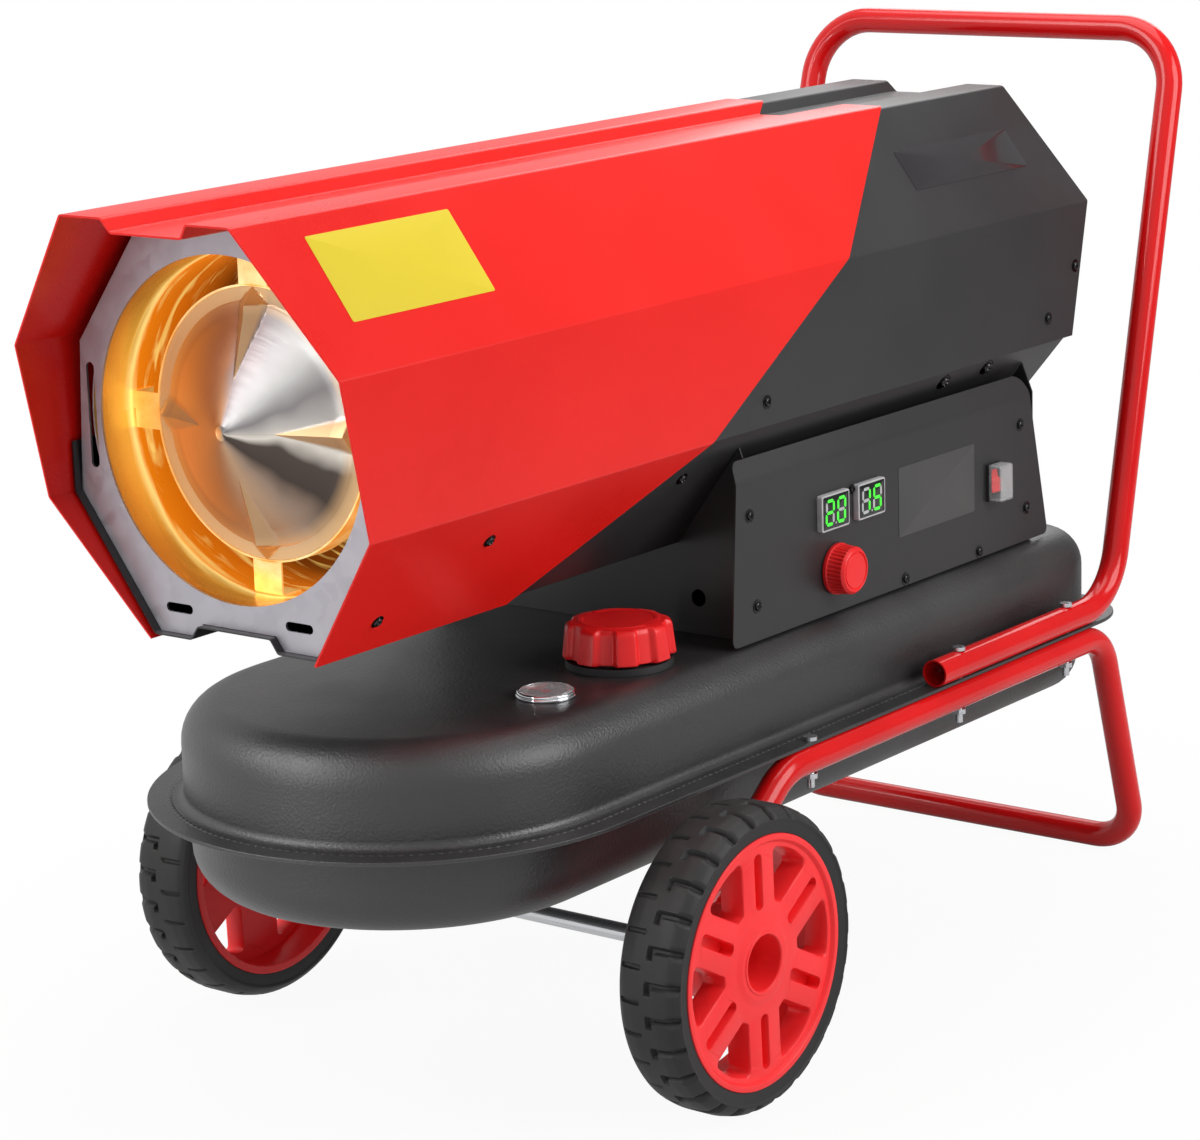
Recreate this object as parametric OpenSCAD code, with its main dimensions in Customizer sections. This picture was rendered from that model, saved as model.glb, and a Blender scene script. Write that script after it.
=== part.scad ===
// Diesel forced-air heater on a two-wheeled frame.
// X is across, with the control panel on the +X side, Y runs back from the outlet, Z is up.
// The origin is on the floor, at the middle of the heater's length and width.

/* [Overall] */
// Length from the tip of the outlet hood to the back of the handle
overall_len = 1118; // [1080:1:1180]
// Height of the handle bar's axis above the floor
handle_z = 739; // [700:1:800]
// Gap left between pieces that only rest against each other
seat_gap = 0.3; // [0.2:0.05:0.5]

/* [Body covers] */
// Height of the burner axis above the floor
axis_z = 540; // [535:1:580]
// Width across the two upright sides
body_w = 310; // [300:1:340]
// Height over the top and bottom flats
body_h = 318; // [312:1:340]
// Width of the top and bottom flats
flat_w = 160; // [140:1:180]
// Height of each upright side
side_h = 116; // [90:1:140]
// Length from the hood tip to the rear edge at the upper crease
body_len = 1012; // [1000:1:1050]
// Lean of the hood's front edge, top forward
front_rake = 11.5; // [6:0.5:15]
// Lean of the rear edge, top backward
rear_rake = 13; // [8:0.5:16]
// Height of the cut corner at the top of the rear edge
rear_cut_h = 62; // [40:1:90]
// How far the cut corner goes forward
rear_cut_run = 30; // [15:1:45]
// Width of the channel along the top, at its mouth
channel_w = 80; // [70:1:100]
// Width of the channel's floor
channel_floor_w = 66; // [60:1:69]
// Depth of the channel
channel_d = 10; // [6:0.5:14]
// Thickness of the front cover's sheet
front_t = 1.5; // [1:0.1:2.5]
// Thickness of the rear cover's sheet
rear_t = 1.2; // [0.8:0.1:2]
// Thickness of the lower casing's sheet
casing_t = 1.2; // [0.8:0.1:2]
// Length of the front cover along its bottom edge, from under the hood tip
split_y = 278; // [240:1:320]
// Lean of the seam between the front and rear covers
split_angle = 58.5; // [50:0.5:62]
// How far the rear cover runs in under the front cover
cover_lap = 25; // [15:1:40]
// Height of the casing's upright flanges above the lower crease
casing_flange_h = 38; // [20:1:45]
// How far the casing's upright front edge lies behind the hood's lower edge
casing_setback = 3; // [1:0.5:6]
// How far the casing's rear edge lies inside the rear cover's
casing_rear_setback = 10; // [5:1:20]

/* [Outlet and burner] */
// Distance from the hood tip back to the outlet plate
plate_y = 74; // [72:1:84]
// Thickness of the outlet plate
plate_t = 2; // [1:0.5:4]
// Least width of the outlet plate beside the chamber's mouth
plate_rim = 17.2; // [15:0.1:24]
// Height of the saddles under the heat shield, at the middle
saddle_h = 7.8; // [5:0.1:14]
// Wall of the combustion chamber
chamber_t = 1.5; // [1:0.1:2.5]
// Length of the combustion chamber
chamber_len = 470; // [440:1:500]
// Air gap between the chamber and the heat shield
shield_air = 8; // [5:0.5:10]
// Wall of the heat shield
shield_t = 1.2; // [0.8:0.1:2]
// Radius of the flame cone's base
cone_r = 93; // [85:1:98]
// Height of the flame cone
cone_h = 44; // [30:1:46]
// Distance from the plate's face back to the cone's base
cone_set = 34; // [32:1:50]
// Radial gap between the cone's base and its holding ring
cone_ring_air = 6; // [4:0.5:8]
// Depth of the cone's holding ring
cone_ring_h = 20; // [14:1:30]
// Width of the tabs that hold the ring
cone_tab_w = 27; // [16:1:34]
// Thickness of the cone, its ring and its tabs
cone_t = 1.5; // [1:0.1:2]
// Radius of the burner head
burner_r = 46; // [38:1:55]
// Length of the burner head
burner_len = 70; // [50:1:80]
// Radius of the nozzle's body
nozzle_r = 9; // [6:0.5:10]

/* [Fan and pump] */
// Distance from the hood tip back to the fan's middle
fan_y = 765; // [740:1:780]
// Radius of the fan
fan_r = 125; // [110:1:130]
// Number of fan blades
fan_blades = 5; // [3:1:7]
// Radius of the fan's hub
fan_hub_r = 24; // [18:1:30]
// Radius of the motor
motor_r = 58; // [50:1:62]
// Length of the motor
motor_len = 98; // [90:1:104]
// Radius of the motor's shaft
shaft_r = 6; // [5:0.5:8]
// Running clearance of the shaft in its bearings
bearing_clear = 0.05; // [0.02:0.01:0.1]
// Radius of the air pump
pump_r = 42; // [36:1:48]
// Depth of the air pump's chamber
pump_depth = 22; // [18:1:26]
// Clear space between the air pump's cover and the intake guard
guard_air = 8; // [4:1:12]
// Thickness of the intake guard
guard_t = 3; // [2:0.5:4]

/* [Pedestal and panel] */
// Distance from the hood tip back to the pedestal's front wall
pedestal_y = 496; // [470:1:510]
// Clear space between the air line and the pedestal's rear wall
pedestal_room = 6; // [4:1:10]
// How far the side panels stand in from the body's upright sides
panel_set = 3; // [2:1:6]
// Thickness of the side panels
panel_t = 1.5; // [1:0.1:2.5]
// How far the side panels run out in front of the pedestal's front wall
panel_over = 30; // [10:1:34]
// Lean of the side panels' front edge
panel_lean = 4; // [0:0.5:8]
// Length of the side panels along their lower edge
panel_len = 478; // [460:1:490]
// Height of the panels' lower edge above the tank's deck
panel_lift = 1; // [0.5:0.5:4]
// Length of the panels' bent upper edge
panel_lip = 18; // [12:1:24]
// Lean of the bent upper edge
panel_lip_angle = 18; // [12:1:22]
// Thickness of the pedestal's walls
pedestal_t = 1.5; // [1:0.1:3]
// Width of each display
display_w = 40; // [36:1:46]
// Height of each display
display_h = 30; // [26:1:34]
// Distance from the panel's front edge to the first display's middle
display_y = 139; // [130:1:150]
// Distance between the two displays' middles
display_pitch = 52.5; // [50:0.5:60]
// Height of the displays' middles above the deck
display_z = 86; // [80:1:90]
// Distance from the panel's front edge to the thermostat knob
knob_y = 145; // [130:1:160]
// Height of the knob's axis above the deck
knob_z = 37; // [30:1:42]
// Radius of the knob
knob_r = 21; // [16:1:23]
// Length of the knob
knob_len = 19; // [16:1:30]
// Distance from the panel's front edge to the switch's middle
switch_y = 386; // [370:1:400]
// Height of the switch's middle above the deck
switch_z = 64; // [56:1:72]
// Width of the switch's frame
switch_w = 21; // [20:1:28]
// Height of the switch's frame
switch_h = 32; // [30:1:42]
// Travel of the rocker
rocker_angle = 18; // [10:1:22]

/* [Tank] */
// Height of the tank's deck above the floor
deck_z = 312; // [300:1:330]
// Height of the flange's upper face above the floor
flange_z = 237; // [230:1:245]
// Height of the tank's underside above the floor
pan_z = 166; // [155:1:180]
// Half-width of the flange
flange_r = 200; // [194:1:208]
// Half-width of the upper half's wall
tank_r = 172; // [166:1:178]
// Half-width of the lower half's wall
pan_r = 168; // [160:1:172]
// Radius of the upper half's shoulder
shoulder_r = 32; // [26:1:46]
// Radius of the lower half's bottom edge
pan_edge_r = 34; // [20:1:44]
// Radius of the upper half's rear corners in plan
corner_r = 48; // [47:1:70]
// Sheet thickness of the tank
tank_t = 1.5; // [1:0.1:2]
// Distance from the hood tip back to the middle of the tank's round front
tank_front_y = 253; // [240:1:270]
// Distance from the hood tip back to the tank's rear wall
tank_rear_y = 1004; // [990:1:1015]
// Distance of the filler's axis from the middle plane
filler_x = 98; // [80:1:98]
// Distance from the hood tip back to the filler's axis
filler_y = 391; // [370:1:400]
// Inner radius of the filler neck
neck_r = 30; // [24:1:32]
// Wall of the filler neck
neck_t = 3; // [2:0.5:4]
// Radius of the neck's foot ring
neck_foot_r = 42; // [38:1:44]
// Height of the neck's foot ring
neck_foot_h = 6; // [4:1:8]
// Height of the neck above the deck
neck_h = 24; // [20:1:34]
// Radius of the fuel cap over its lobes
cap_r = 44; // [42:0.5:50]
// Thickness of the cap's top
cap_top_t = 10; // [6:1:14]
// Number of lobes on the cap
cap_lobes = 8; // [6:1:12]
// Depth of the grooves between the lobes
cap_groove = 4; // [2:0.5:6]
// Distance of the gauge from the middle plane
gauge_x = 107; // [90:1:112]
// Distance from the hood tip back to the gauge
gauge_y = 288; // [270:1:300]
// Radius of the gauge
gauge_r = 23; // [20:1:28]
// Height of the gauge's rim above the deck
gauge_h = 5; // [5:0.5:10]
// Length of the float's arm
float_arm_len = 80; // [60:1:90]
// Radius of the float
float_r = 12; // [8:1:16]
// How far the arm hangs below level when the tank is empty
float_hang = 40; // [30:1:42]

/* [Frame, handle and wheels] */
// Outer diameter of the frame and handle tubes
tube_d = 23; // [20:0.5:27]
// Wall of the tubes
tube_t = 1.5; // [1:0.1:2.5]
// Distance of the tubes' axes from the middle plane
tube_x = 195; // [190:1:200]
// Radius of the tubes' close bends
bend_r = 42; // [34:1:50]
// Radius of the tubes' wide bends
wide_bend_r = 60; // [50:1:70]
// Distance from the hood tip back to the wheel axle
axle_y = 335; // [320:1:350]
// Radius of the wheel axle
axle_r = 7; // [6:0.5:8]
// Distance from the axle back to the frame's front bend
frame_bend_run = 135; // [120:1:150]
// Distance from the hood tip back to the frame's rear bend
frame_rear_y = 961; // [945:1:975]
// Distance from the hood tip back to the foot bar
foot_y = 1034; // [1020:1:1050]
// How much the foot bar's side legs lean in
foot_in = 5; // [0:0.5:12]
// How much the handle's uprights lean in
handle_in = 7.5; // [0:0.5:15]
// Distance from the hood tip back to the handle's front ends
handle_front_y = 689; // [670:1:705]
// Distance from the hood tip back to the handle's lower bend
handle_bend_y = 978; // [965:1:990]
// Distances from the hood tip back to the three bolts of each side
bolt_y = [507, 727, 902];
// Radius of the frame bolts
bolt_r = 3; // [2.5:0.25:4]
// Radius of the wheels
wheel_r = 118; // [105:1:120]
// Width of the tyres
tyre_w = 56; // [46:1:60]
// Distance from the middle plane to the wheels' outer faces
wheel_x = 271; // [270:1:285]
// Radius of the hubs
hub_r = 98; // [88:1:100]
// Width of the hubs
hub_w = 52; // [42:1:56]
// Radius of the well in each hub's outer face
hub_well_r = 21.5; // [16:0.5:24]
// Number of spokes in each hub
spokes = 6; // [5:1:8]
// Width of the spokes
spoke_w = 40; // [32:1:46]
// Turn of the first spoke from level
spoke_turn = 32; // [0:1:60]

/* [Hidden] */
$fn = 64;

// Colours
red_paint = "#c8141a";
black_paint = "#222224";
zinc = "#b9bcc0";
galvanised = "#9b9da3";

// Places along the heater, measured from the hood tip
front_tip = -overall_len / 2;
function from_tip(d) = front_tip + d;

// The eight-sided section: inset is the distance in from the front cover's outer face
slant_turn = atan2((body_h - side_h) / 2, (body_w - flat_w) / 2);
channel_turn = atan2(channel_d, (channel_w - channel_floor_w) / 2);
function flat_half(inset) = flat_w / 2 - inset * tan(slant_turn / 2);
function wide_half(inset) = body_w / 2 - inset;
function side_half(inset) = side_h / 2 - inset * tan((90 - slant_turn) / 2);
function tall_half(inset) = body_h / 2 - inset;
function mouth_half(inset) = channel_w / 2 + inset * tan(channel_turn / 2);
function floor_half(inset) = channel_floor_w / 2 + inset * tan(channel_turn / 2);
body_top = axis_z + body_h / 2;
body_bottom = axis_z - body_h / 2;
rear_inset = front_t + seat_gap;
casing_inset = rear_inset + rear_t + seat_gap;
casing_inner = casing_inset + casing_t;
// Height of the slant's outer face at a given half-width, on the lower side
function slant_z(x, inset) =
    axis_z - side_half(inset) - (wide_half(inset) - x) * tan(slant_turn);
function slant_x(z, inset) =
    wide_half(inset) - (axis_z - side_half(inset) - z) / tan(slant_turn);
plateau_z = body_bottom + casing_inner + channel_d;
panel_x = body_w / 2 - panel_set;
// The outlet plate fits the casing below, and clears the cover's channel above
plate_low_inset = casing_inner + seat_gap;
plate_high_inset = front_t + channel_d + seat_gap;
// The chamber takes the room that its saddles and the outlet plate leave
chamber_r = min(axis_z - plateau_z - saddle_h - shield_t - shield_air - chamber_t,
    wide_half(plate_high_inset) - plate_rim);

function backwards(list) = [for (k = [len(list) - 1:-1:0]) list[k]];
function both_sides(half) = concat(half, [for (p = backwards(half)) [-p[0], p[1]]]);
function upper_half(inset) = [
    [wide_half(inset), axis_z + side_half(inset)],
    [flat_half(inset), axis_z + tall_half(inset)],
    [mouth_half(inset), axis_z + tall_half(inset)],
    [floor_half(inset), axis_z + tall_half(inset) - channel_d]];
function front_half(inset) = concat(
    [[flat_half(inset), axis_z - tall_half(inset)], [wide_half(inset), axis_z - side_half(inset)]],
    upper_half(inset));
function rear_half(inset) = concat([[wide_half(inset), axis_z - side_half(inset)]], upper_half(inset));
function casing_half(inset) = [
    [wide_half(inset), axis_z - side_half(inset) + casing_flange_h],
    [wide_half(inset), axis_z - side_half(inset)],
    [flat_half(inset), axis_z - tall_half(inset)],
    [mouth_half(inset), axis_z - tall_half(inset)],
    [floor_half(inset), axis_z - tall_half(inset) + channel_d]];
function sheet(outer, inner) = concat(both_sides(outer), backwards(both_sides(inner)));

// Lines of the side view, as a distance along Y at a height z
function hood_y(z) = front_tip + (body_top - z) * tan(front_rake);
function split_line(z) = from_tip(split_y) + (z - body_bottom) * tan(split_angle);
function rear_line(z) = from_tip(body_len) + (z - axis_z - side_h / 2) * tan(rear_rake);
cut_z = body_top - rear_cut_h;
view_margin = 20;
low_z = body_bottom - view_margin;
high_z = body_top + view_margin;

module prism_y(y0, y1) {
    translate([0, y1, 0])
        rotate([90, 0, 0])
            linear_extrude(y1 - y0)
                children();
}

module prism_x(x0, x1) {
    translate([x0, 0, 0])
        rotate([90, 0, 90])
            linear_extrude(x1 - x0)
                children();
}

// A turned shape about an axis along +Y, its profile given as radius and distance back
module turned_y(x, y, z) {
    translate([x, y, z])
        rotate([-90, 0, 0])
            rotate_extrude()
                children();
}

// A turned shape about an axis along +X, its profile given as radius and distance outward
module turned_x(x, y, z) {
    translate([x, y, z])
        rotate([0, 90, 0])
            rotate_extrude()
                children();
}

module turned_z(x, y, z) {
    translate([x, y, z])
        rotate_extrude()
            children();
}

module bar_y(x, y0, y1, z, r) {
    translate([x, y0, z])
        rotate([-90, 0, 0])
            cylinder(h = y1 - y0, r = r);
}

module bar_x(x0, x1, y, z, r) {
    translate([x0, y, z])
        rotate([0, 90, 0])
            cylinder(h = x1 - x0, r = r);
}

// Tubes bent round corner points: straight runs and true bends, a hair fuller where the tube was bent
bend_swell = 0.1;
bend_grip = 0.6;
function unit(v) = v / norm(v);
function turn_at(p, k) = acos(unit(p[k] - p[k - 1]) * unit(p[k + 1] - p[k]));
function set_off(p, bends, k) =
    (k == 0 || k == len(p) - 1) ? 0 : bends[k - 1] * tan(turn_at(p, k) / 2);
function run_start(p, bends, k) = p[k] + unit(p[k + 1] - p[k]) * set_off(p, bends, k);
function run_end(p, bends, k) = p[k + 1] - unit(p[k + 1] - p[k]) * set_off(p, bends, k + 1);

module rod(a, b, r) {
    v = b - a;
    translate(a)
        rotate([0, acos(v[2] / norm(v)), atan2(v[1], v[0])])
            cylinder(h = norm(v), r = r);
}

module bend(p, bends, k, r) {
    into = unit(p[k] - p[k - 1]);
    onward = unit(p[k + 1] - p[k]);
    inward = unit(onward - into * (into * onward));
    start = p[k] - into * set_off(p, bends, k);
    centre = start + inward * bends[k - 1];
    up = cross(-inward, into);
    multmatrix([for (row = [0:2]) [-inward[row], into[row], up[row], centre[row]]])
        rotate_extrude(angle = turn_at(p, k))
            translate([bends[k - 1], 0])
                circle(r + bend_swell);
}

module bent_bar(p, bends, r) {
    last = len(p) - 2;
    for (k = [0:last]) {
        along = unit(p[k + 1] - p[k]) * bend_grip;
        rod(run_start(p, bends, k) - (k > 0 ? along : [0, 0, 0]),
            run_end(p, bends, k) + (k < last ? along : [0, 0, 0]), r);
    }
    for (k = [1:len(p) - 2])
        bend(p, bends, k, r);
}

module bent_tube(p, bends, r, wall) {
    last = len(p) - 1;
    beyond = concat(
        [p[0] + unit(p[0] - p[1])],
        [for (k = [1:last - 1]) p[k]],
        [p[last] + unit(p[last] - p[last - 1])]);
    difference() {
        bent_bar(p, bends, r);
        bent_bar(beyond, bends, r - wall);
    }
}

// Body covers
module front_cover() {
    color(red_paint)
        intersection() {
            prism_y(front_tip - view_margin, from_tip(body_len))
                polygon(sheet(front_half(0), front_half(front_t)));
            prism_x(-body_w, body_w)
                polygon([
                    [hood_y(low_z), low_z],
                    [split_line(low_z), low_z],
                    [split_line(high_z), high_z],
                    [hood_y(high_z), high_z]]);
        }
}

module rear_cover() {
    color(black_paint)
        intersection() {
            prism_y(front_tip, from_tip(body_len + rear_cut_h))
                polygon(sheet(rear_half(rear_inset), rear_half(rear_inset + rear_t)));
            prism_x(-body_w, body_w)
                polygon([
                    [split_line(low_z) - cover_lap, low_z],
                    [rear_line(low_z), low_z],
                    [rear_line(cut_z), cut_z],
                    [rear_line(cut_z) - rear_cut_run, body_top],
                    [rear_line(cut_z) - rear_cut_run, high_z],
                    [split_line(high_z) - cover_lap, high_z]]);
        }
}

line_hole_r = 6;
casing_front = hood_y(body_bottom) + casing_setback;
module lower_casing() {
    color(black_paint)
        difference() {
            intersection() {
                prism_y(front_tip, from_tip(body_len))
                    polygon(sheet(casing_half(casing_inset), casing_half(casing_inner)));
                prism_x(-body_w, body_w)
                    polygon([
                        [casing_front, low_z],
                        [rear_line(low_z) - casing_rear_setback, low_z],
                        [rear_line(axis_z) - casing_rear_setback, axis_z],
                        [casing_front, axis_z]]);
            }
            for (p = [[0, fuel_line_y], [air_x, air_front_y], [air_x, air_rear_y]])
                translate([p[0], p[1], body_bottom])
                    cylinder(h = plateau_z - body_bottom + 1, r = line_hole_r);
        }
}

// Outlet
plate_face = from_tip(plate_y);
chamber_front = plate_face + plate_t;
plate_slot_w = 7;
plate_slot_len = 26;
side_slot_w = 8;
side_slot_len = 78;
plate_slot_x = 58;
plate_slot_rise = 19;
function outlet_half() = [
    [floor_half(plate_low_inset), plateau_z + seat_gap],
    [mouth_half(plate_low_inset), axis_z - tall_half(plate_low_inset)],
    [flat_half(plate_low_inset), axis_z - tall_half(plate_low_inset)],
    [wide_half(plate_low_inset), axis_z - side_half(plate_low_inset)],
    [wide_half(plate_high_inset), axis_z + side_half(plate_high_inset)],
    [flat_half(plate_high_inset), axis_z + tall_half(plate_high_inset)]];
function plate_half(inset) = [
    [flat_half(inset), axis_z - tall_half(inset)],
    [wide_half(inset), axis_z - side_half(inset)],
    [wide_half(inset), axis_z + side_half(inset)],
    [flat_half(inset), axis_z + tall_half(inset)]];

// A slot with round ends through a sheet that faces along Y, its length measured between the ends' middles
module slot_y(x, z, len, w, y, depth) {
    translate([x - len / 2, y - 1, z - w / 2])
        cube([len, depth + 2, w]);
    for (s = [-1, 1])
        bar_y(x + s * len / 2, y - 1, y + depth + 1, z, w / 2);
}

module upright_slot_y(x, z, len, w, y, depth) {
    translate([x - w / 2, y - 1, z - len / 2])
        cube([w, depth + 2, len]);
    for (s = [-1, 1])
        bar_y(x, y - 1, y + depth + 1, z + s * len / 2, w / 2);
}

module outlet_plate() {
    color(galvanised)
        difference() {
            prism_y(plate_face, chamber_front)
                polygon(both_sides(outlet_half()));
            bar_y(0, plate_face - 1, chamber_front + 1, axis_z, chamber_r);
            for (s = [-1, 1])
                slot_y(s * plate_slot_x, axis_z - tall_half(plate_low_inset) + plate_slot_rise,
                    plate_slot_len - plate_slot_w, plate_slot_w, plate_face, plate_t);
            for (s = [-1, 1])
                upright_slot_y(s * (wide_half(plate_high_inset) + chamber_r) / 2, axis_z,
                    side_slot_len - side_slot_w, side_slot_w, plate_face, plate_t);
        }
}

chamber_out = chamber_r + chamber_t;
shield_in = chamber_out + shield_air;
shield_out = shield_in + shield_t;
shield_len = chamber_len - 20;
burner_hole_r = burner_r + seat_gap;

module combustion_chamber() {
    color("#b08a4a")
        turned_y(0, chamber_front, axis_z)
            polygon([
                [chamber_r, 0],
                [chamber_out, 0],
                [chamber_out, chamber_len],
                [burner_hole_r, chamber_len],
                [burner_hole_r, chamber_len - chamber_t],
                [chamber_r, chamber_len - chamber_t]]);
}

module heat_shield() {
    color(galvanised)
        turned_y(0, chamber_front + seat_gap, axis_z)
            translate([shield_in, 0])
                square([shield_t, shield_len]);
}

spacer_w = 10;
spacer_set = 30;
module shield_spacers() {
    color(galvanised)
        for (at = [spacer_set, shield_len - spacer_set - spacer_w])
            turned_y(0, chamber_front + at, axis_z)
                translate([chamber_out + seat_gap, 0])
                    square([shield_air - 2 * seat_gap, spacer_w]);
}

saddle_t = 12;
module chamber_saddles() {
    saddle_half = floor_half(0);
    color(black_paint)
        for (at = [spacer_set, shield_len - spacer_set - spacer_w])
            difference() {
                translate([-saddle_half, chamber_front + at, plateau_z])
                    cube([2 * saddle_half, saddle_t, axis_z - shield_out + 12 - plateau_z]);
                bar_y(0, chamber_front + at - 1, chamber_front + at + saddle_t + 1, axis_z,
                    shield_out + seat_gap, $fn = 240);
            }
}

// Flame cone, in its ring
cone_base = plate_face + cone_set;
cone_tip_r = 4;
rib_count = 4;
rib_w = 26;
rib_h = 9;
rib_from = 0.5;
ring_in = cone_r + cone_ring_air;
ring_out = ring_in + cone_t;
rib_reach = ring_in - seat_gap;

module cone_rib() {
    start_r = rib_from * cone_r;
    function skin(r) = cone_h * (1 - r / cone_r);
    polyhedron(
        points = [
            [start_r, 0, skin(start_r) - cone_t],
            [cone_r - 2, rib_w / 2, skin(cone_r - 2) - cone_t],
            [cone_r - 2, -rib_w / 2, skin(cone_r - 2) - cone_t],
            [rib_reach, 0, -cone_t],
            [cone_r - 3, 0, skin(cone_r) + rib_h]],
        faces = [[0, 1, 4], [0, 4, 2], [1, 3, 4], [3, 2, 4], [0, 3, 1], [0, 2, 3]]);
}

module flame_cone() {
    color("silver")
        translate([0, cone_base, axis_z])
            rotate([90, 0, 0]) {
                rotate_extrude()
                    polygon([
                        [0, cone_h],
                        [cone_tip_r, cone_h * (1 - cone_tip_r / cone_r)],
                        [cone_r, 0],
                        [cone_r, -cone_t],
                        [cone_r - cone_t, -cone_t],
                        [0, cone_h - 2 * cone_t]]);
                for (k = [0:rib_count - 1])
                    rotate([0, 0, k * 360 / rib_count])
                        cone_rib();
            }
}

module cone_ring() {
    color("#d8b060") {
        turned_y(0, cone_base - cone_t, axis_z)
            translate([ring_in, 0])
                square([cone_t, cone_ring_h]);
        for (k = [0:rib_count - 1])
            translate([0, cone_base - cone_t, axis_z])
                rotate([0, k * 360 / rib_count, 0]) {
                    translate([ring_in + cone_t / 2, 0, -cone_tab_w / 2])
                        cube([chamber_edge(cone_tab_w) - ring_in - cone_t / 2, cone_t, cone_tab_w]);
                    translate([chamber_edge(cone_tab_w) - cone_t, 0, -cone_tab_w / 2])
                        cube([cone_t, cone_ring_h, cone_tab_w]);
                }
    }
}
// Reach of a flat tab of a given width inside the round chamber
function chamber_edge(w) = sqrt(pow(chamber_r - seat_gap, 2) - pow(w / 2, 2));

// Burner head, with its nozzle, electrodes and flame sensor
chamber_rear = chamber_front + chamber_len;
burner_front = chamber_rear - burner_len / 2;
burner_rear = burner_front + burner_len;
burner_t = 2;
burner_lip = 8;
air_hole_r = 4;
air_holes = 8;
electrode_x = 16;
electrode_z = 14;
ceramic_r = 4;
wire_r = 1.2;
sensor_x = -24;
sensor_r = 6;

module burner_head() {
    color("dimgray")
        difference() {
            union() {
                turned_y(0, burner_front, axis_z)
                    polygon([
                        [burner_r - burner_t, 0],
                        [burner_r, 0],
                        [burner_r, burner_len / 2 + seat_gap],
                        [burner_r + burner_lip, burner_len / 2 + seat_gap],
                        [burner_r + burner_lip, burner_len / 2 + seat_gap + burner_t],
                        [burner_r, burner_len / 2 + seat_gap + burner_t],
                        [burner_r, burner_len],
                        [0, burner_len],
                        [0, burner_len - burner_t],
                        [burner_r - burner_t, burner_len - burner_t]]);
            }
            bar_y(0, burner_rear - burner_t - 1, burner_rear + 1, axis_z, nozzle_r + seat_gap);
            for (s = [-1, 1])
                bar_y(s * electrode_x, burner_rear - burner_t - 1, burner_rear + 1, axis_z + electrode_z,
                    ceramic_r + seat_gap);
            bar_y(sensor_x, burner_rear - burner_t - 1, burner_rear + 1, axis_z - electrode_z,
                sensor_r + seat_gap);
            for (k = [0:air_holes - 1])
                translate([0, burner_rear, axis_z])
                    rotate([0, k * 360 / air_holes, 0])
                        bar_y(0.8 * burner_r, -burner_t - 1, 1, 0, air_hole_r);
        }
}

nozzle_len = 44;
nozzle_tip_r = 3;
hex_r = 12;
hex_len = 10;
module fuel_nozzle() {
    color("goldenrod") {
        turned_y(0, burner_rear - nozzle_len + hex_len, axis_z)
            polygon([
                [0, 0],
                [nozzle_tip_r, 0],
                [nozzle_r, nozzle_r - nozzle_tip_r],
                [nozzle_r, nozzle_len - hex_len],
                [0, nozzle_len - hex_len]]);
        translate([0, burner_rear + seat_gap, axis_z])
            rotate([-90, 0, 0])
                cylinder(h = hex_len, r = hex_r, $fn = 6);
        bar_y(0, burner_rear - 1, burner_rear + seat_gap + 1, axis_z, nozzle_r);
    }
}

ceramic_in = 30;
ceramic_out = 18;
wire_set = 4;
module ignition_electrodes() {
    color("white")
        for (s = [-1, 1]) {
            bar_y(s * electrode_x, burner_rear - ceramic_in, burner_rear + ceramic_out, axis_z + electrode_z,
                ceramic_r);
            bar_y(s * electrode_x, burner_front + wire_set, burner_rear - ceramic_in + 1, axis_z + electrode_z,
                wire_r);
        }
}

module flame_sensor() {
    color("#303030") {
        bar_y(sensor_x, burner_rear - 16, burner_rear + 20, axis_z - electrode_z, sensor_r);
        bar_y(sensor_x, burner_rear + seat_gap, burner_rear + 5, axis_z - electrode_z, sensor_r + 3);
    }
}

// Fan, motor and air pump on one shaft
fan_mid = from_tip(fan_y);
fan_depth = 40;
motor_front = fan_mid + fan_depth / 2 + 14;
motor_rear = motor_front + motor_len;
pump_front = motor_rear;
pump_wall = 3;
pump_rear = pump_front + pump_wall + pump_depth;
blade_t = 1.5;
blade_w = 54;
blade_pitch = 32;
running_gap = 1;

module fan_motor() {
    color("#3a3d42")
        difference() {
            turned_y(0, motor_front, axis_z)
                polygon([
                    [0, 0],
                    [motor_r - 8, 0],
                    [motor_r, 8],
                    [motor_r, motor_len - 8],
                    [motor_r - 8, motor_len],
                    [0, motor_len]]);
            bar_y(0, motor_front - 1, motor_rear + 1, axis_z, shaft_r + bearing_clear);
        }
}

cradle_t = 4;
cradle_half = 34;
cradle_set = 16;
module motor_cradle() {
    color(black_paint)
        difference() {
            union() {
                for (at = [cradle_set, motor_len - cradle_set - cradle_t])
                    translate([-cradle_half, motor_front + at, plateau_z])
                        cube([2 * cradle_half, cradle_t, axis_z - motor_r * 0.7 - plateau_z]);
                translate([-cradle_half, motor_front + cradle_set, plateau_z])
                    cube([2 * cradle_half, motor_len - 2 * cradle_set, cradle_t]);
            }
            bar_y(0, motor_front, motor_rear, axis_z, motor_r + seat_gap);
        }
}

shaft_front = fan_mid - fan_depth / 2 - 12;
shaft_rear = pump_rear - 4;
module motor_shaft() {
    color("silver")
        bar_y(0, shaft_front, shaft_rear, axis_z, shaft_r);
}

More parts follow.
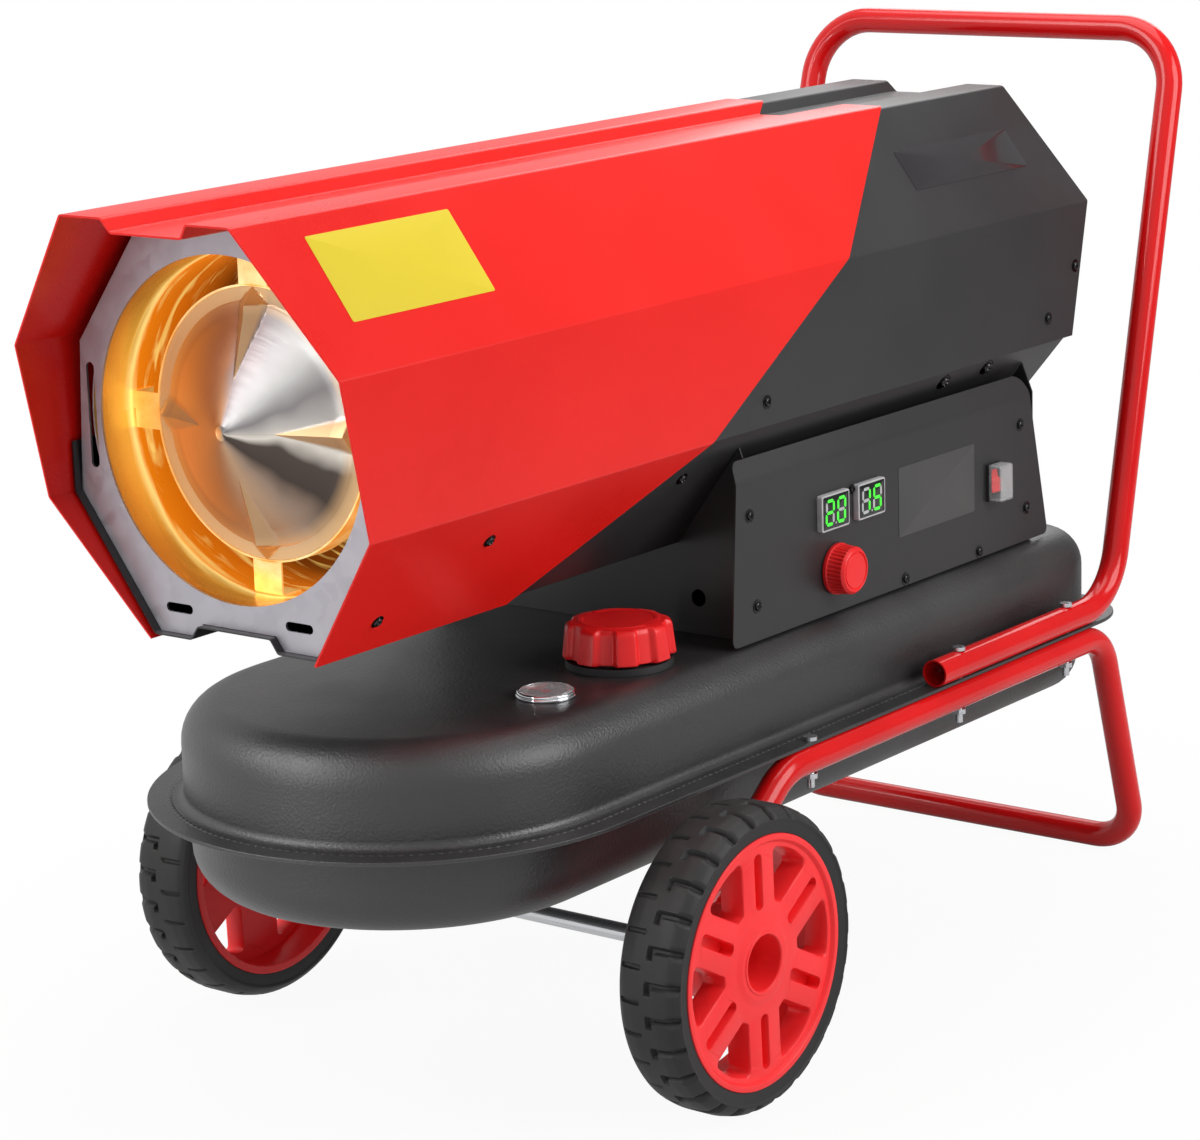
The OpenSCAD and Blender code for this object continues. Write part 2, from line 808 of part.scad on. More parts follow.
module fan_blade() {
    color("#8f9499")
        difference() {
            union() {
                bar_y(0, fan_mid - fan_depth / 2, fan_mid + fan_depth / 2, axis_z, fan_hub_r);
                intersection() {
                    bar_y(0, fan_mid - fan_depth, fan_mid + fan_depth, axis_z, fan_r);
                    for (k = [0:fan_blades - 1])
                        translate([0, fan_mid, axis_z])
                            rotate([0, k * 360 / fan_blades, 0])
                                rotate([blade_pitch, 0, 0])
                                    translate([fan_hub_r - 4, -blade_t / 2, -blade_w / 2])
                                        cube([fan_r, blade_t, blade_w]);
                }
            }
            bar_y(0, fan_mid - fan_depth, fan_mid + fan_depth, axis_z, shaft_r);
        }
}

module pump_housing() {
    color("#a8abb0")
        difference() {
            bar_y(0, pump_front, pump_rear, axis_z, pump_r);
            bar_y(0, pump_front + pump_wall, pump_rear + 1, axis_z, pump_r - 5);
            bar_y(0, pump_front - 1, pump_rear, axis_z, shaft_r + running_gap);
            translate([air_x, pump_mid, axis_z - pump_r - 1])
                cylinder(h = pump_r / 2, r = air_line_r + seat_gap);
        }
}
pump_mid = pump_front + pump_wall + pump_depth / 2;
air_line_r = 4;
air_x = 24;
air_rear_y = pump_mid;

vane_slots = 4;
module pump_rotor() {
    color("#5a5a5e")
        difference() {
            bar_y(0, pump_front + pump_wall + running_gap, pump_rear - running_gap, axis_z, pump_r - 6);
            bar_y(0, pump_front, pump_rear, axis_z, shaft_r);
            for (k = [0:vane_slots - 1])
                translate([0, pump_front, axis_z])
                    rotate([0, k * 360 / vane_slots, 0])
                        translate([pump_r - 16, 0, -1.5])
                            cube([12, pump_depth + 10, 3]);
        }
}

pump_cover_t = 4;
filter_h = 10;
module pump_cover() {
    color("#2a2a2c")
        turned_y(0, pump_rear, axis_z)
            polygon([
                [0, seat_gap],
                [pump_r, seat_gap],
                [pump_r, pump_cover_t],
                [pump_r - 8, pump_cover_t + filter_h],
                [0, pump_cover_t + filter_h]]);
}

guard_inset = casing_inner + seat_gap;
guard_ring_w = 4;
guard_ring_pitch = 22;
guard_open_r = chamber_r + 6;
guard_spoke_w = 5;
guard_spokes = 8;
module intake_guard() {
    y0 = pump_rear + pump_cover_t + filter_h + guard_air;
    color("#1c1c1e")
        difference() {
            prism_y(y0, y0 + guard_t)
                difference() {
                    polygon(both_sides(concat(
                        [[floor_half(guard_inset), plateau_z + seat_gap],
                        [mouth_half(guard_inset), axis_z - tall_half(guard_inset)]],
                        plate_half(guard_inset),
                        [[mouth_half(guard_inset), axis_z + tall_half(guard_inset)],
                        [floor_half(guard_inset), axis_z + tall_half(guard_inset) - channel_d]])));
                }
            difference() {
                for (r = [guard_ring_pitch:guard_ring_pitch:guard_open_r - guard_ring_w])
                    turned_y(0, y0 - 1, axis_z)
                        translate([r, 0])
                            square([guard_ring_pitch - guard_ring_w, guard_t + 2]);
                for (k = [0:guard_spokes / 2 - 1])
                    translate([0, y0, axis_z])
                        rotate([0, k * 360 / guard_spokes, 0])
                            translate([-guard_open_r * 1.2, -2, -guard_spoke_w / 2])
                                cube([guard_open_r * 2.4, guard_t + 4, guard_spoke_w]);
            }
        }
}

// Pedestal and side panels
pedestal_front = from_tip(pedestal_y);
pedestal_rear = air_rear_y + air_line_r + pedestal_room + pedestal_t;
pedestal_len = pedestal_rear - pedestal_front;
pedestal_base = deck_z + seat_gap;
pedestal_half = panel_x - panel_t - seat_gap;
// The casing's underside, as seen by the walls that carry it
seat_inset = casing_inset - seat_gap;
wall_hole_x = 98;
wall_hole_z = 30;
wall_hole_r = 7;
// The walls' upper corners lean in with the panels' bent edges
function lip_lean() = (lip_in + panel_t / cos(panel_lip_angle) - panel_t) / (lip_drop - 2 * panel_t);
function corner_low() = panel_bend_z - seat_gap;
function corner_rise() = (slant_z(pedestal_half, seat_inset) - corner_low())
    / (1 + lip_lean() * tan(slant_turn));
function wall_half() = [
    [pedestal_half, pedestal_base],
    [pedestal_half, corner_low()],
    [pedestal_half - corner_rise() * lip_lean(), corner_low() + corner_rise()],
    [flat_half(seat_inset), axis_z - tall_half(seat_inset)],
    [mouth_half(seat_inset), axis_z - tall_half(seat_inset)],
    [floor_half(seat_inset), axis_z - tall_half(seat_inset) + channel_d]];

module pedestal() {
    color(black_paint)
        difference() {
            union() {
                for (y = [pedestal_front, pedestal_rear - pedestal_t])
                    prism_y(y, y + pedestal_t)
                        polygon(both_sides(wall_half()));
                translate([-pedestal_half, pedestal_front, pedestal_base])
                    cube([2 * pedestal_half, pedestal_len, pedestal_t]);
            }
            bar_y(wall_hole_x, pedestal_front - 1, pedestal_front + pedestal_t + 1,
                deck_z + wall_hole_z, wall_hole_r);
            translate([0, fuel_line_y, deck_z])
                cylinder(h = 2 * pedestal_t + 1, r = pickup_r + seat_gap);
            bar_y(gland_x, pedestal_rear - pedestal_t - 1, pedestal_rear + 1, gland_z, gland_r + seat_gap);
        }
}

panel_front = pedestal_front - panel_over;
panel_bottom = deck_z + panel_lift;
lip_drop = panel_lip * cos(panel_lip_angle);
lip_in = panel_lip * sin(panel_lip_angle);
// The lip's top stops short of the casing's slanted side
lip_air = 16;
panel_top = slant_z(panel_x - lip_in, seat_inset) - lip_air;
panel_bend_z = panel_top - lip_drop;
panel_rear = panel_front + panel_len;

module panel_shape() {
    intersection() {
        prism_y(panel_front, panel_rear)
            polygon([
                [panel_x - panel_t, panel_bottom],
                [panel_x, panel_bottom],
                [panel_x, panel_bend_z],
                [panel_x - lip_in, panel_top],
                [panel_x - lip_in - panel_t / cos(panel_lip_angle), panel_top - 2 * panel_t],
                [panel_x - panel_t, panel_bend_z]]);
        prism_x(0, body_w)
            polygon([
                [panel_front, panel_bottom],
                [panel_rear, panel_bottom],
                [panel_rear - (panel_bend_z - panel_bottom) * tan(rear_rake), panel_bend_z],
                [panel_rear - (panel_top - panel_bottom) * tan(rear_rake) - panel_lip, panel_top],
                [panel_front + (panel_top - panel_bottom) * tan(panel_lean), panel_top]]);
    }
}

display_depth = 22;
display_proud = 5;
display_flange = 2;
function display_at(k) = panel_front + display_y + k * display_pitch;
display_mid_z = deck_z + display_z;
knob_at_y = panel_front + knob_y;
knob_at_z = deck_z + knob_z;
knob_shaft_r = 3;
switch_at_y = panel_front + switch_y;
switch_at_z = deck_z + switch_z;
switch_wall = 3;

module control_panel() {
    color(black_paint)
        difference() {
            panel_shape();
            for (k = [0, 1])
                translate([panel_x - panel_t - 1, display_at(k) - display_w / 2 + display_flange,
                    display_mid_z - display_h / 2 + display_flange])
                    cube([panel_t + 2, display_w - 2 * display_flange, display_h - 2 * display_flange]);
            bar_x(panel_x - panel_t - 1, panel_x + 1, knob_at_y, knob_at_z, knob_shaft_r + 2);
            translate([panel_x - panel_t - 1, switch_at_y - switch_w / 2 + switch_wall,
                switch_at_z - switch_h / 2 + switch_wall])
                cube([panel_t + 2, switch_w - 2 * switch_wall, switch_h - 2 * switch_wall]);
        }
}

module far_panel() {
    color(black_paint)
        mirror([1, 0, 0])
            panel_shape();
}

module display(k) {
    clear = display_flange + seat_gap;
    color("#2c2e30") {
        translate([panel_x, display_at(k) - display_w / 2, display_mid_z - display_h / 2])
            cube([display_proud, display_w, display_h]);
        translate([panel_x - display_depth, display_at(k) - display_w / 2 + clear,
            display_mid_z - display_h / 2 + clear])
            cube([display_depth + 1, display_w - 2 * clear, display_h - 2 * clear]);
    }
}

module display_left() {
    display(0);
}

module display_right() {
    display(1);
}

board_t = 1.6;
board_x = panel_x - display_depth - seat_gap - board_t;
board_len = 150;
board_h = 62;
// The board's upper edge stays clear of the casing's slanted side
board_air = 7.6;
board_top = slant_z(board_x, seat_inset) - board_air;
module control_board() {
    color("#1d5b32")
        translate([board_x, panel_front + display_y - display_w, board_top - board_h])
            cube([board_t, board_len, board_h]);
}

transformer_size = [70, 90, 50];
transformer_back = 260;
transformer_side = 20;
module ignition_transformer() {
    color("#2b2b30")
        translate([-transformer_size[0] - transformer_side, pedestal_front + transformer_back,
            pedestal_base + pedestal_t])
            cube(transformer_size);
}

knob_flute_r = 1.2;
knob_flutes = 24;
knob_air = 0.6;
module thermostat_knob() {
    color(red_paint)
        difference() {
            turned_x(panel_x + knob_air, knob_at_y, knob_at_z)
                polygon([
                    [0, 0],
                    [knob_r, 0],
                    [knob_r, knob_len - 4],
                    [knob_r - 2, knob_len],
                    [0, knob_len]]);
            bar_x(panel_x, panel_x + knob_air + knob_len - 6, knob_at_y, knob_at_z, knob_shaft_r);
            for (k = [0:knob_flutes - 1])
                translate([0, knob_at_y, knob_at_z])
                    rotate([k * 360 / knob_flutes, 0, 0])
                        bar_x(panel_x + knob_air + 4, panel_x + knob_air + knob_len + 1, knob_r + 0.4, 0,
                            knob_flute_r);
        }
}

thermostat_depth = 18;
module thermostat_shaft() {
    color("silver")
        bar_x(panel_x - panel_t - thermostat_depth + 4, panel_x + knob_air + knob_len - 6,
            knob_at_y, knob_at_z, knob_shaft_r);
}

thermostat_r = 13;
module thermostat_body() {
    color("#6b6d70")
        difference() {
            bar_x(panel_x - panel_t - thermostat_depth, panel_x - panel_t - seat_gap, knob_at_y, knob_at_z,
                thermostat_r);
            bar_x(panel_x - panel_t - thermostat_depth + 3, panel_x, knob_at_y, knob_at_z,
                knob_shaft_r + bearing_clear);
        }
}

// Rocker switch under a clear cover
switch_proud = 3;
switch_depth = 20;
rocker_r = 6;
rocker_air = 0.5;
rocker_out = 5;
well_h = switch_h - 2 * switch_wall - 2 * seat_gap - 3;
// The rocker's length leaves room for its tilt in the well
rocker_half = (well_h / 2 - rocker_air - rocker_out * sin(rocker_angle / 2)) / cos(rocker_angle / 2);
pivot_x = panel_x + switch_proud - rocker_r;
pivot_r = 1.5;
module switch_body() {
    well = [switch_depth + switch_proud, switch_w - 2 * switch_wall - 2 * seat_gap - 3, well_h];
    color("#1e1e20") {
        difference() {
            union() {
                translate([panel_x, switch_at_y - switch_w / 2, switch_at_z - switch_h / 2])
                    cube([switch_proud, switch_w, switch_h]);
                translate([panel_x - switch_depth, switch_at_y - well[1] / 2 - 1.5, switch_at_z - well[2] / 2 - 1.5])
                    cube([switch_depth + 1, well[1] + 3, well[2] + 3]);
            }
            translate([panel_x - switch_depth + 2, switch_at_y - well[1] / 2, switch_at_z - well[2] / 2])
                cube(well);
        }
        translate([pivot_x, switch_at_y - well[1] / 2 - 0.5, switch_at_z])
            rotate([-90, 0, 0])
                cylinder(h = well[1] + 1, r = pivot_r);
    }
}

module switch_rocker() {
    w = switch_w - 2 * switch_wall - 2 * seat_gap - 3 - 2 * rocker_air;
    color("#d01c1c")
        translate([pivot_x, switch_at_y - w / 2, switch_at_z])
            rotate([0, -rocker_angle / 2, 0])
                difference() {
                    union() {
                        rotate([-90, 0, 0])
                            cylinder(h = w, r = rocker_r);
                        translate([0, 0, -rocker_half])
                            cube([rocker_out, w, 2 * rocker_half]);
                    }
                    translate([0, -1, 0])
                        rotate([-90, 0, 0])
                            cylinder(h = w + 2, r = pivot_r + bearing_clear);
                }
}

cover_h = 12;
cover_t = 1.2;
module switch_cover() {
    color([0.9, 0.9, 0.95, 0.4])
        translate([panel_x + switch_proud, switch_at_y - switch_w / 2, switch_at_z - switch_h / 2])
            difference() {
                cube([cover_h, switch_w, switch_h]);
                translate([-1, cover_t, cover_t])
                    cube([cover_h - cover_t + 1, switch_w - 2 * cover_t, switch_h - 2 * cover_t]);
            }
}

gland_r = 9;
gland_x = -60;
gland_rise = 45;
gland_z = deck_z + gland_rise;
module cord_gland() {
    color("#17171a")
        difference() {
            union() {
                bar_y(gland_x, pedestal_rear - 14, pedestal_rear + 16, gland_z, gland_r);
                translate([gland_x, pedestal_rear + seat_gap, gland_z])
                    rotate([-90, 0, 0])
                        cylinder(h = 8, r = gland_r + 4, $fn = 6);
            }
            bar_y(gland_x, pedestal_rear - 15, pedestal_rear + 17, gland_z, gland_r - 4);
        }
}

// Tank: the half-section of the upper half, measured from the tank's middle line outward
flange_t = tank_t;
tank_mid = from_tip(tank_front_y);
tank_rear = from_tip(tank_rear_y);
flange_out = flange_r - tank_r;

module wall_section(r, edge_r, top, foot, lip) {
    // A flat skin from the middle line, a rounded edge, an upright wall and a flange at its foot
    translate([0, top - tank_t])
        square([r - edge_r, tank_t]);
    translate([r - edge_r, top - edge_r])
        intersection() {
            difference() {
                circle(edge_r);
                circle(edge_r - tank_t);
            }
            square(edge_r + 1);
        }
    translate([r - tank_t, foot])
        square([tank_t, top - edge_r - foot]);
    translate([r - tank_t, foot])
        square([lip - r + tank_t, flange_t]);
}

// The section carried round the tank's outline: a round front, straight sides and rounded rear corners
module tank_shell(r, edge_r, top, foot, corner, rear) {
    shift = r - corner;
    corner_y = rear - corner;
    translate([0, tank_mid, 0])
        rotate([0, 0, 180])
            rotate_extrude(angle = 180)
                wall_section(r, edge_r, top, foot, flange_r);
    prism_y(tank_mid, corner_y) {
        wall_section(r, edge_r, top, foot, flange_r);
        mirror([1, 0])
            wall_section(r, edge_r, top, foot, flange_r);
    }
    for (s = [0, 1])
        mirror([s, 0, 0])
            translate([shift, corner_y, 0])
                rotate_extrude(angle = 90)
                    wall_section(corner, edge_r, top, foot, flange_r - shift);
    translate([0, corner_y, 0])
        prism_x(-shift, shift)
            wall_section(corner, edge_r, top, foot, flange_r - shift);
}

module tank_upper() {
    color("#232326")
        difference() {
            tank_shell(tank_r, shoulder_r, deck_z, flange_z - flange_t, corner_r, tank_rear);
            translate([filler_x, from_tip(filler_y), deck_z - tank_t - 1])
                cylinder(h = tank_t + 2, r = neck_r + neck_t + seat_gap);
            translate([gauge_x, from_tip(gauge_y), deck_z - tank_t - 1])
                cylinder(h = tank_t + 2, r = gauge_stem_r + seat_gap);
            translate([0, fuel_line_y, deck_z - tank_t - 1])
                cylinder(h = tank_t + 2, r = pickup_r + seat_gap);
            flange_holes();
        }
}

module flange_holes() {
    for (s = [-1, 1], y = bolt_y)
        translate([s * tube_x, from_tip(y), flange_z - 2 * flange_t - 1])
            cylinder(h = 2 * flange_t + 2, r = bolt_r + axle_bore_clear);
}

// The lower half is the same shell turned over
module tank_lower() {
    seam = flange_z - flange_t;
    color("#232326")
        difference() {
            translate([0, 0, 2 * seam])
                mirror([0, 0, 1])
                    tank_shell(pan_r, pan_edge_r, 2 * seam - pan_z, seam,
                        corner_r - (tank_r - pan_r), tank_rear - (tank_r - pan_r));
            flange_holes();
        }
}

// Filler and cap
filler_at = [filler_x, from_tip(filler_y), deck_z];
neck_out = neck_r + neck_t;
neck_below = 14;
gasket_t = 2;
cap_air = 0.4;
cap_skirt_low = neck_foot_h + 2;
gasket_low = neck_h + seat_gap;
cap_ceiling = gasket_low + gasket_t + seat_gap;
cap_top = cap_ceiling + cap_top_t;

module filler_neck() {
    color("#1a1a1c")
        translate(filler_at)
            rotate_extrude()
                polygon([
                    [neck_r, -neck_below],
                    [neck_out, -neck_below],
                    [neck_out, seat_gap],
                    [neck_foot_r, seat_gap],
                    [neck_foot_r, neck_foot_h],
                    [neck_out, neck_foot_h],
                    [neck_out, neck_h],
                    [neck_r, neck_h]]);
}

strainer_depth = 60;
strainer_t = 1;
module filler_strainer() {
    color("#c9b26a")
        translate(filler_at)
            rotate_extrude()
                polygon([
                    [0, -strainer_depth],
                    [neck_r - seat_gap, -strainer_depth],
                    [neck_r - seat_gap, neck_h - 2],
                    [neck_r - seat_gap - strainer_t, neck_h - 2],
                    [neck_r - seat_gap - strainer_t, strainer_t - strainer_depth],
                    [0, strainer_t - strainer_depth]]);
}

module cap_gasket() {
    color("#0f0f10")
        translate(filler_at)
            rotate_extrude()
                translate([neck_r - 3, gasket_low])
                    square([neck_t + 3, gasket_t]);
}

groove_r = 9;
module fuel_cap() {
    color(red_paint)
        translate(filler_at)
            difference() {
                rotate_extrude()
                    polygon([
                        [0, cap_ceiling],
                        [neck_out + cap_air, cap_ceiling],
                        [neck_out + cap_air, cap_skirt_low],
                        [cap_r, cap_skirt_low],
                        [cap_r, cap_top - 6],
                        [cap_r - 4, cap_top],
                        [0, cap_top]]);
                for (k = [0:cap_lobes - 1])
                    rotate([0, 0, (k + 0.5) * 360 / cap_lobes])
                        translate([cap_r - cap_groove + groove_r, 0, cap_skirt_low - 1])
                            cylinder(h = cap_top - cap_skirt_low + 2, r = groove_r);
            }
}

// Level gauge with its float
gauge_at = [gauge_x, from_tip(gauge_y), deck_z];
gauge_stem_r = 9;
gauge_well = 3.5;
gauge_rim_w = 3;
needle_t = 0.8;
needle_w = 3;
lens_t = 1.5;
pivot_drop = 52;
float_pin_r = 2;
float_eye_r = 5;
float_eye_w = 5;
float_len = 30;
stem_w = 8;
module gauge_body() {
    color("silver")
        translate(gauge_at) {
            difference() {
                union() {
                    translate([0, 0, seat_gap])
                        cylinder(h = gauge_h - seat_gap, r = gauge_r);
                    translate([0, 0, -12])
                        cylinder(h = 13, r = gauge_stem_r);
                }
                translate([0, 0, gauge_h - gauge_well])
                    cylinder(h = gauge_well + 1, r = gauge_r - gauge_rim_w);
            }
            translate([-stem_w / 2, 0, -pivot_drop - 6])
                cube([stem_w, 3, pivot_drop - 5]);
            translate([0, -float_eye_w - 1, -pivot_drop])
                rotate([-90, 0, 0])
                    cylinder(h = float_eye_w + 2, r = float_pin_r);
            translate([0, 0, gauge_h - gauge_well - 1])
                cylinder(h = 2.6, r = 1);
        }
}

module gauge_needle() {
    color("#d01c1c")
        translate([gauge_at[0], gauge_at[1], deck_z + gauge_h - gauge_well + 0.5])
            difference() {
                union() {
                    cylinder(h = needle_t, r = needle_w);
                    translate([-gauge_r + gauge_rim_w + 3, -needle_w / 3, 0])
                        cube([gauge_r - gauge_rim_w - 3, needle_w * 2 / 3, needle_t]);
                }
                translate([0, 0, -1])
                    cylinder(h = needle_t + 2, r = 1 + bearing_clear);
            }
}

module gauge_lens() {
    color([0.9, 0.93, 0.95, 0.4])
        translate([gauge_at[0], gauge_at[1], deck_z + gauge_h - lens_t])
            cylinder(h = lens_t + 0.5, r = gauge_r - gauge_rim_w - seat_gap);
}

module float_arm() {
    color("#d8b24a")
        translate([gauge_at[0], gauge_at[1] - float_eye_w - 0.5, deck_z - pivot_drop])
        rotate([0, -float_hang, 0]) {
            difference() {
                union() {
                    rotate([-90, 0, 0])
                        cylinder(h = float_eye_w, r = float_eye_r);
                    translate([-float_arm_len, float_eye_w / 2, 0])
                        rotate([0, 90, 0])
                            cylinder(h = float_arm_len - float_eye_r + 1, r = 1.5);
                }
                translate([0, -1, 0])
                    rotate([-90, 0, 0])
                        cylinder(h = float_eye_w + 2, r = float_pin_r + bearing_clear);
            }
            translate([-float_arm_len, (float_eye_w - float_len) / 2, 0])
                rotate([-90, 0, 0])
                    cylinder(h = float_len, r = float_r);
        }
}

// Fuel and air lines, held all the way
pickup_r = 7;
fuel_line_r = 4;
fuel_line_run = 58;
fuel_line_y = burner_rear + fuel_line_run;
line_bend_r = 20;
fuel_line_low = deck_z + 8;
module fuel_pickup() {
    color("#b8b8bc")
        translate([0, fuel_line_y, 0])
            difference() {
                translate([0, 0, pan_z + 12])
                    cylinder(h = fuel_line_low - pan_z - 12, r = pickup_r);
                translate([0, 0, pan_z + 11])
                    cylinder(h = fuel_line_low - pan_z, r = fuel_line_r);
            }
}

module fuel_line() {
    color("#c07a3a")
        bent_bar([
            [0, fuel_line_y, fuel_line_low],
            [0, fuel_line_y, axis_z],
            [0, burner_rear + hex_len + seat_gap, axis_z]],
            [line_bend_r], fuel_line_r);
}

air_line_run = 34;
air_line_rise = 34;
air_line_seat = 2;
air_line_drop = 26;
air_front_y = fuel_line_y + air_line_run;
air_low_z = deck_z + air_line_rise;
air_top = sqrt(pow(pump_r, 2) - pow(air_x, 2));
module air_line() {
    color("#1f1f22")
        bent_bar([
            [air_x, air_rear_y, axis_z - air_top + air_line_seat],
            [air_x, air_rear_y, air_low_z],
            [air_x, air_front_y, air_low_z],
            [air_x, air_front_y, axis_z - air_line_drop],
            [air_x, burner_rear + seat_gap, axis_z - air_line_drop]],
            [line_bend_r, line_bend_r, line_bend_r], air_line_r);
}

// Frame, handle and wheels
tube_r = tube_d / 2;
axle_at_y = from_tip(axle_y);
axle_z = wheel_r;
frame_z = flange_z - 2 * flange_t - seat_gap - tube_r;
handle_low_z = flange_z + seat_gap + tube_r;
axle_grip = 20;
axle_bore_clear = 0.2;
front_corner = [tube_x, axle_at_y + frame_bend_run, frame_z];
axle_point = [tube_x, axle_at_y, axle_z];
frame_front = axle_point + unit(axle_point - front_corner) * axle_grip;
function mirrored(p) = [-p[0], p[1], p[2]];
frame_side = [
    frame_front,
    front_corner,
    [tube_x, from_tip(frame_rear_y), frame_z],
    [tube_x - foot_in, from_tip(foot_y), tube_r]];
frame_bends = [wide_bend_r, bend_r, bend_r, bend_r, bend_r, wide_bend_r];

module frame_tube() {
    color(red_paint)
        difference() {
            bent_tube(concat(frame_side, [for (p = backwards(frame_side)) mirrored(p)]), frame_bends,
                tube_r, tube_t);
            bar_x(-tube_x - tube_d, tube_x + tube_d, axle_at_y, axle_z, axle_r + axle_bore_clear);
            for (s = [-1, 1], y = bolt_y)
                translate([s * tube_x, from_tip(y), frame_z - tube_d])
                    cylinder(h = 2 * tube_d, r = bolt_r + axle_bore_clear);
        }
}

handle_rear = overall_len / 2 - tube_r;
handle_side = [
    [tube_x, from_tip(handle_front_y), handle_low_z],
    [tube_x, from_tip(handle_bend_y), handle_low_z],
    [tube_x - handle_in, handle_rear, handle_z]];
handle_bends = [wide_bend_r, wide_bend_r - 5, wide_bend_r - 5, wide_bend_r];
module handle_tube() {
    color(red_paint)
        difference() {
            bent_tube(concat(handle_side, [for (p = backwards(handle_side)) mirrored(p)]), handle_bends,
                tube_r, tube_t);
            for (s = [-1, 1], y = [bolt_y[1], bolt_y[2]])
                translate([s * tube_x, from_tip(y), handle_low_z - tube_d])
                    cylinder(h = 2 * tube_d, r = bolt_r + axle_bore_clear);
        }
}

hub_inner = wheel_x - (tyre_w + hub_w) / 2;
hub_outer = hub_inner + hub_w;
axle_clear = 0.08;
hub_floor_w = 14;
axle_end = hub_inner + hub_floor_w + 14;
module wheel_axle() {
    color("silver")
        bar_x(-axle_end, axle_end, axle_at_y, axle_z, axle_r);
}

hub_rim_w = 9;
hub_face_set = 3;
hub_web_w = 20;
slot_w = 9;
slot_len = 46;
slot_depth = 12;
boss_r = 38;
module hub() {
    gap_r = hub_r - hub_rim_w;
    spoke_pitch = 360 / spokes;
    color("#d8161c")
        translate([0, axle_at_y, axle_z])
            rotate([spoke_turn, 0, 0])
                difference() {
                    union() {
                        turned_x(hub_inner, 0, 0)
                            translate([gap_r, 0])
                                square([hub_rim_w - seat_gap, hub_w]);
                        bar_x(hub_inner, hub_outer - 1, 0, 0, boss_r);
                        for (k = [0:spokes - 1])
                            rotate([k * spoke_pitch, 0, 0])
                                translate([hub_outer - hub_face_set - hub_web_w, 0, -spoke_w / 2])
                                    cube([hub_web_w, gap_r + 2, spoke_w]);
                    }
                    bar_x(hub_inner - 1, hub_outer, 0, 0, axle_r + axle_clear);
                    bar_x(hub_inner + hub_floor_w, hub_outer + 1, 0, 0, hub_well_r);
                    for (k = [0:spokes - 1])
                        rotate([k * spoke_pitch, 0, 0])
                            translate([hub_outer - hub_face_set - slot_depth, gap_r - slot_len - 4, -slot_w / 2])
                                cube([slot_depth + 5, slot_len, slot_w]);
                }
}

module hub_right() {
    hub();
}

module hub_left() {
    mirror([1, 0, 0])
        hub();
}

tyre_shoulder = 7;
tyre_crown = 2.5;
module tyre() {
    color("#1b1b1c")
        turned_x(wheel_x - tyre_w, axle_at_y, axle_z)
            polygon([
                [hub_r, 4],
                [wheel_r - tyre_shoulder - 3, 0],
                [wheel_r - tyre_crown, tyre_shoulder],
                [wheel_r, tyre_w * 0.3],
                [wheel_r, tyre_w * 0.7],
                [wheel_r - tyre_crown, tyre_w - tyre_shoulder],
                [wheel_r - tyre_shoulder - 3, tyre_w],
                [hub_r, tyre_w - 4]]);
}

module tyre_right() {
    tyre();
}

module tyre_left() {
    mirror([1, 0, 0])
        tyre();
}

washer_r = 13;
washer_t = 2;
pin_r = 1.6;
pin_len = 24;
module axle_fittings() {
    bush_start = tube_x + tube_r;
    color(zinc)
        for (s = [0, 1])
            mirror([s, 0, 0]) {
                difference() {
                    union() {
                        bar_x(bush_start, hub_inner - seat_gap, axle_at_y, axle_z, washer_r);
                        bar_x(hub_inner + hub_floor_w + seat_gap, hub_inner + hub_floor_w + seat_gap + washer_t,
                            axle_at_y, axle_z, washer_r);
                    }
                    bar_x(0, wheel_x, axle_at_y, axle_z, axle_r + axle_clear);
                }
                difference() {
                    translate([hub_inner + hub_floor_w + washer_t + 2 * seat_gap + pin_r, axle_at_y, axle_z - pin_len / 2])
                        cylinder(h = pin_len, r = pin_r);
                    bar_x(0, wheel_x, axle_at_y, axle_z, axle_r + axle_clear);
                }
            }
}

head_r = 5.5;
head_h = 3;
nut_r = 6;
nut_h = 4;
bolt_tail = 8;
// A bolt from a head at z_top down through the frame tube to its nut
module frame_bolt(x, y, z_top) {
    low = frame_z - tube_r;
    translate([x, y, low - nut_h - bolt_tail])
        cylinder(h = z_top - low + nut_h + bolt_tail + 1, r = bolt_r);
    translate([x, y, z_top + seat_gap])
        cylinder(h = head_h, r = head_r);
    translate([x, y, low - nut_h - seat_gap])
        cylinder(h = nut_h, r = nut_r, $fn = 6);
}

module frame_bolts() {
    color(zinc)
        for (s = [-1, 1], k = [0:2])
            frame_bolt(s * tube_x, from_tip(bolt_y[k]), k == 0 ? flange_z : handle_low_z + tube_r);
}

// Small screws on the covers and panels: heads on the skin, with a short shank through it
screw_head_r = 4.6;
screw_head_h = 2.4;
screw_r = 1.8;
screw_len = 9;
module side_screw(x, y, z) {
    translate([x, y, z])
        rotate([0, 90, 0]) {
            translate([0, 0, seat_gap])
                cylinder(h = screw_head_h, r = screw_head_r);
        }
}

// Screws on the upright sides of the rear cover, as distance from the tip and height over the lower crease
side_screw_runs = [22, 68, 239];
side_screws = [
    [body_len - side_screw_runs[0], 61],
    [body_len - side_screw_runs[1], 21],
    [split_y + side_screw_runs[2], 19]];
// Screws on the lower slants, as distance from the tip and distance down from the lower crease
slant_screw_runs = [81, 168];
slant_screws = [[split_y - slant_screw_runs[0], 30], [split_y - slant_screw_runs[1], 75]];
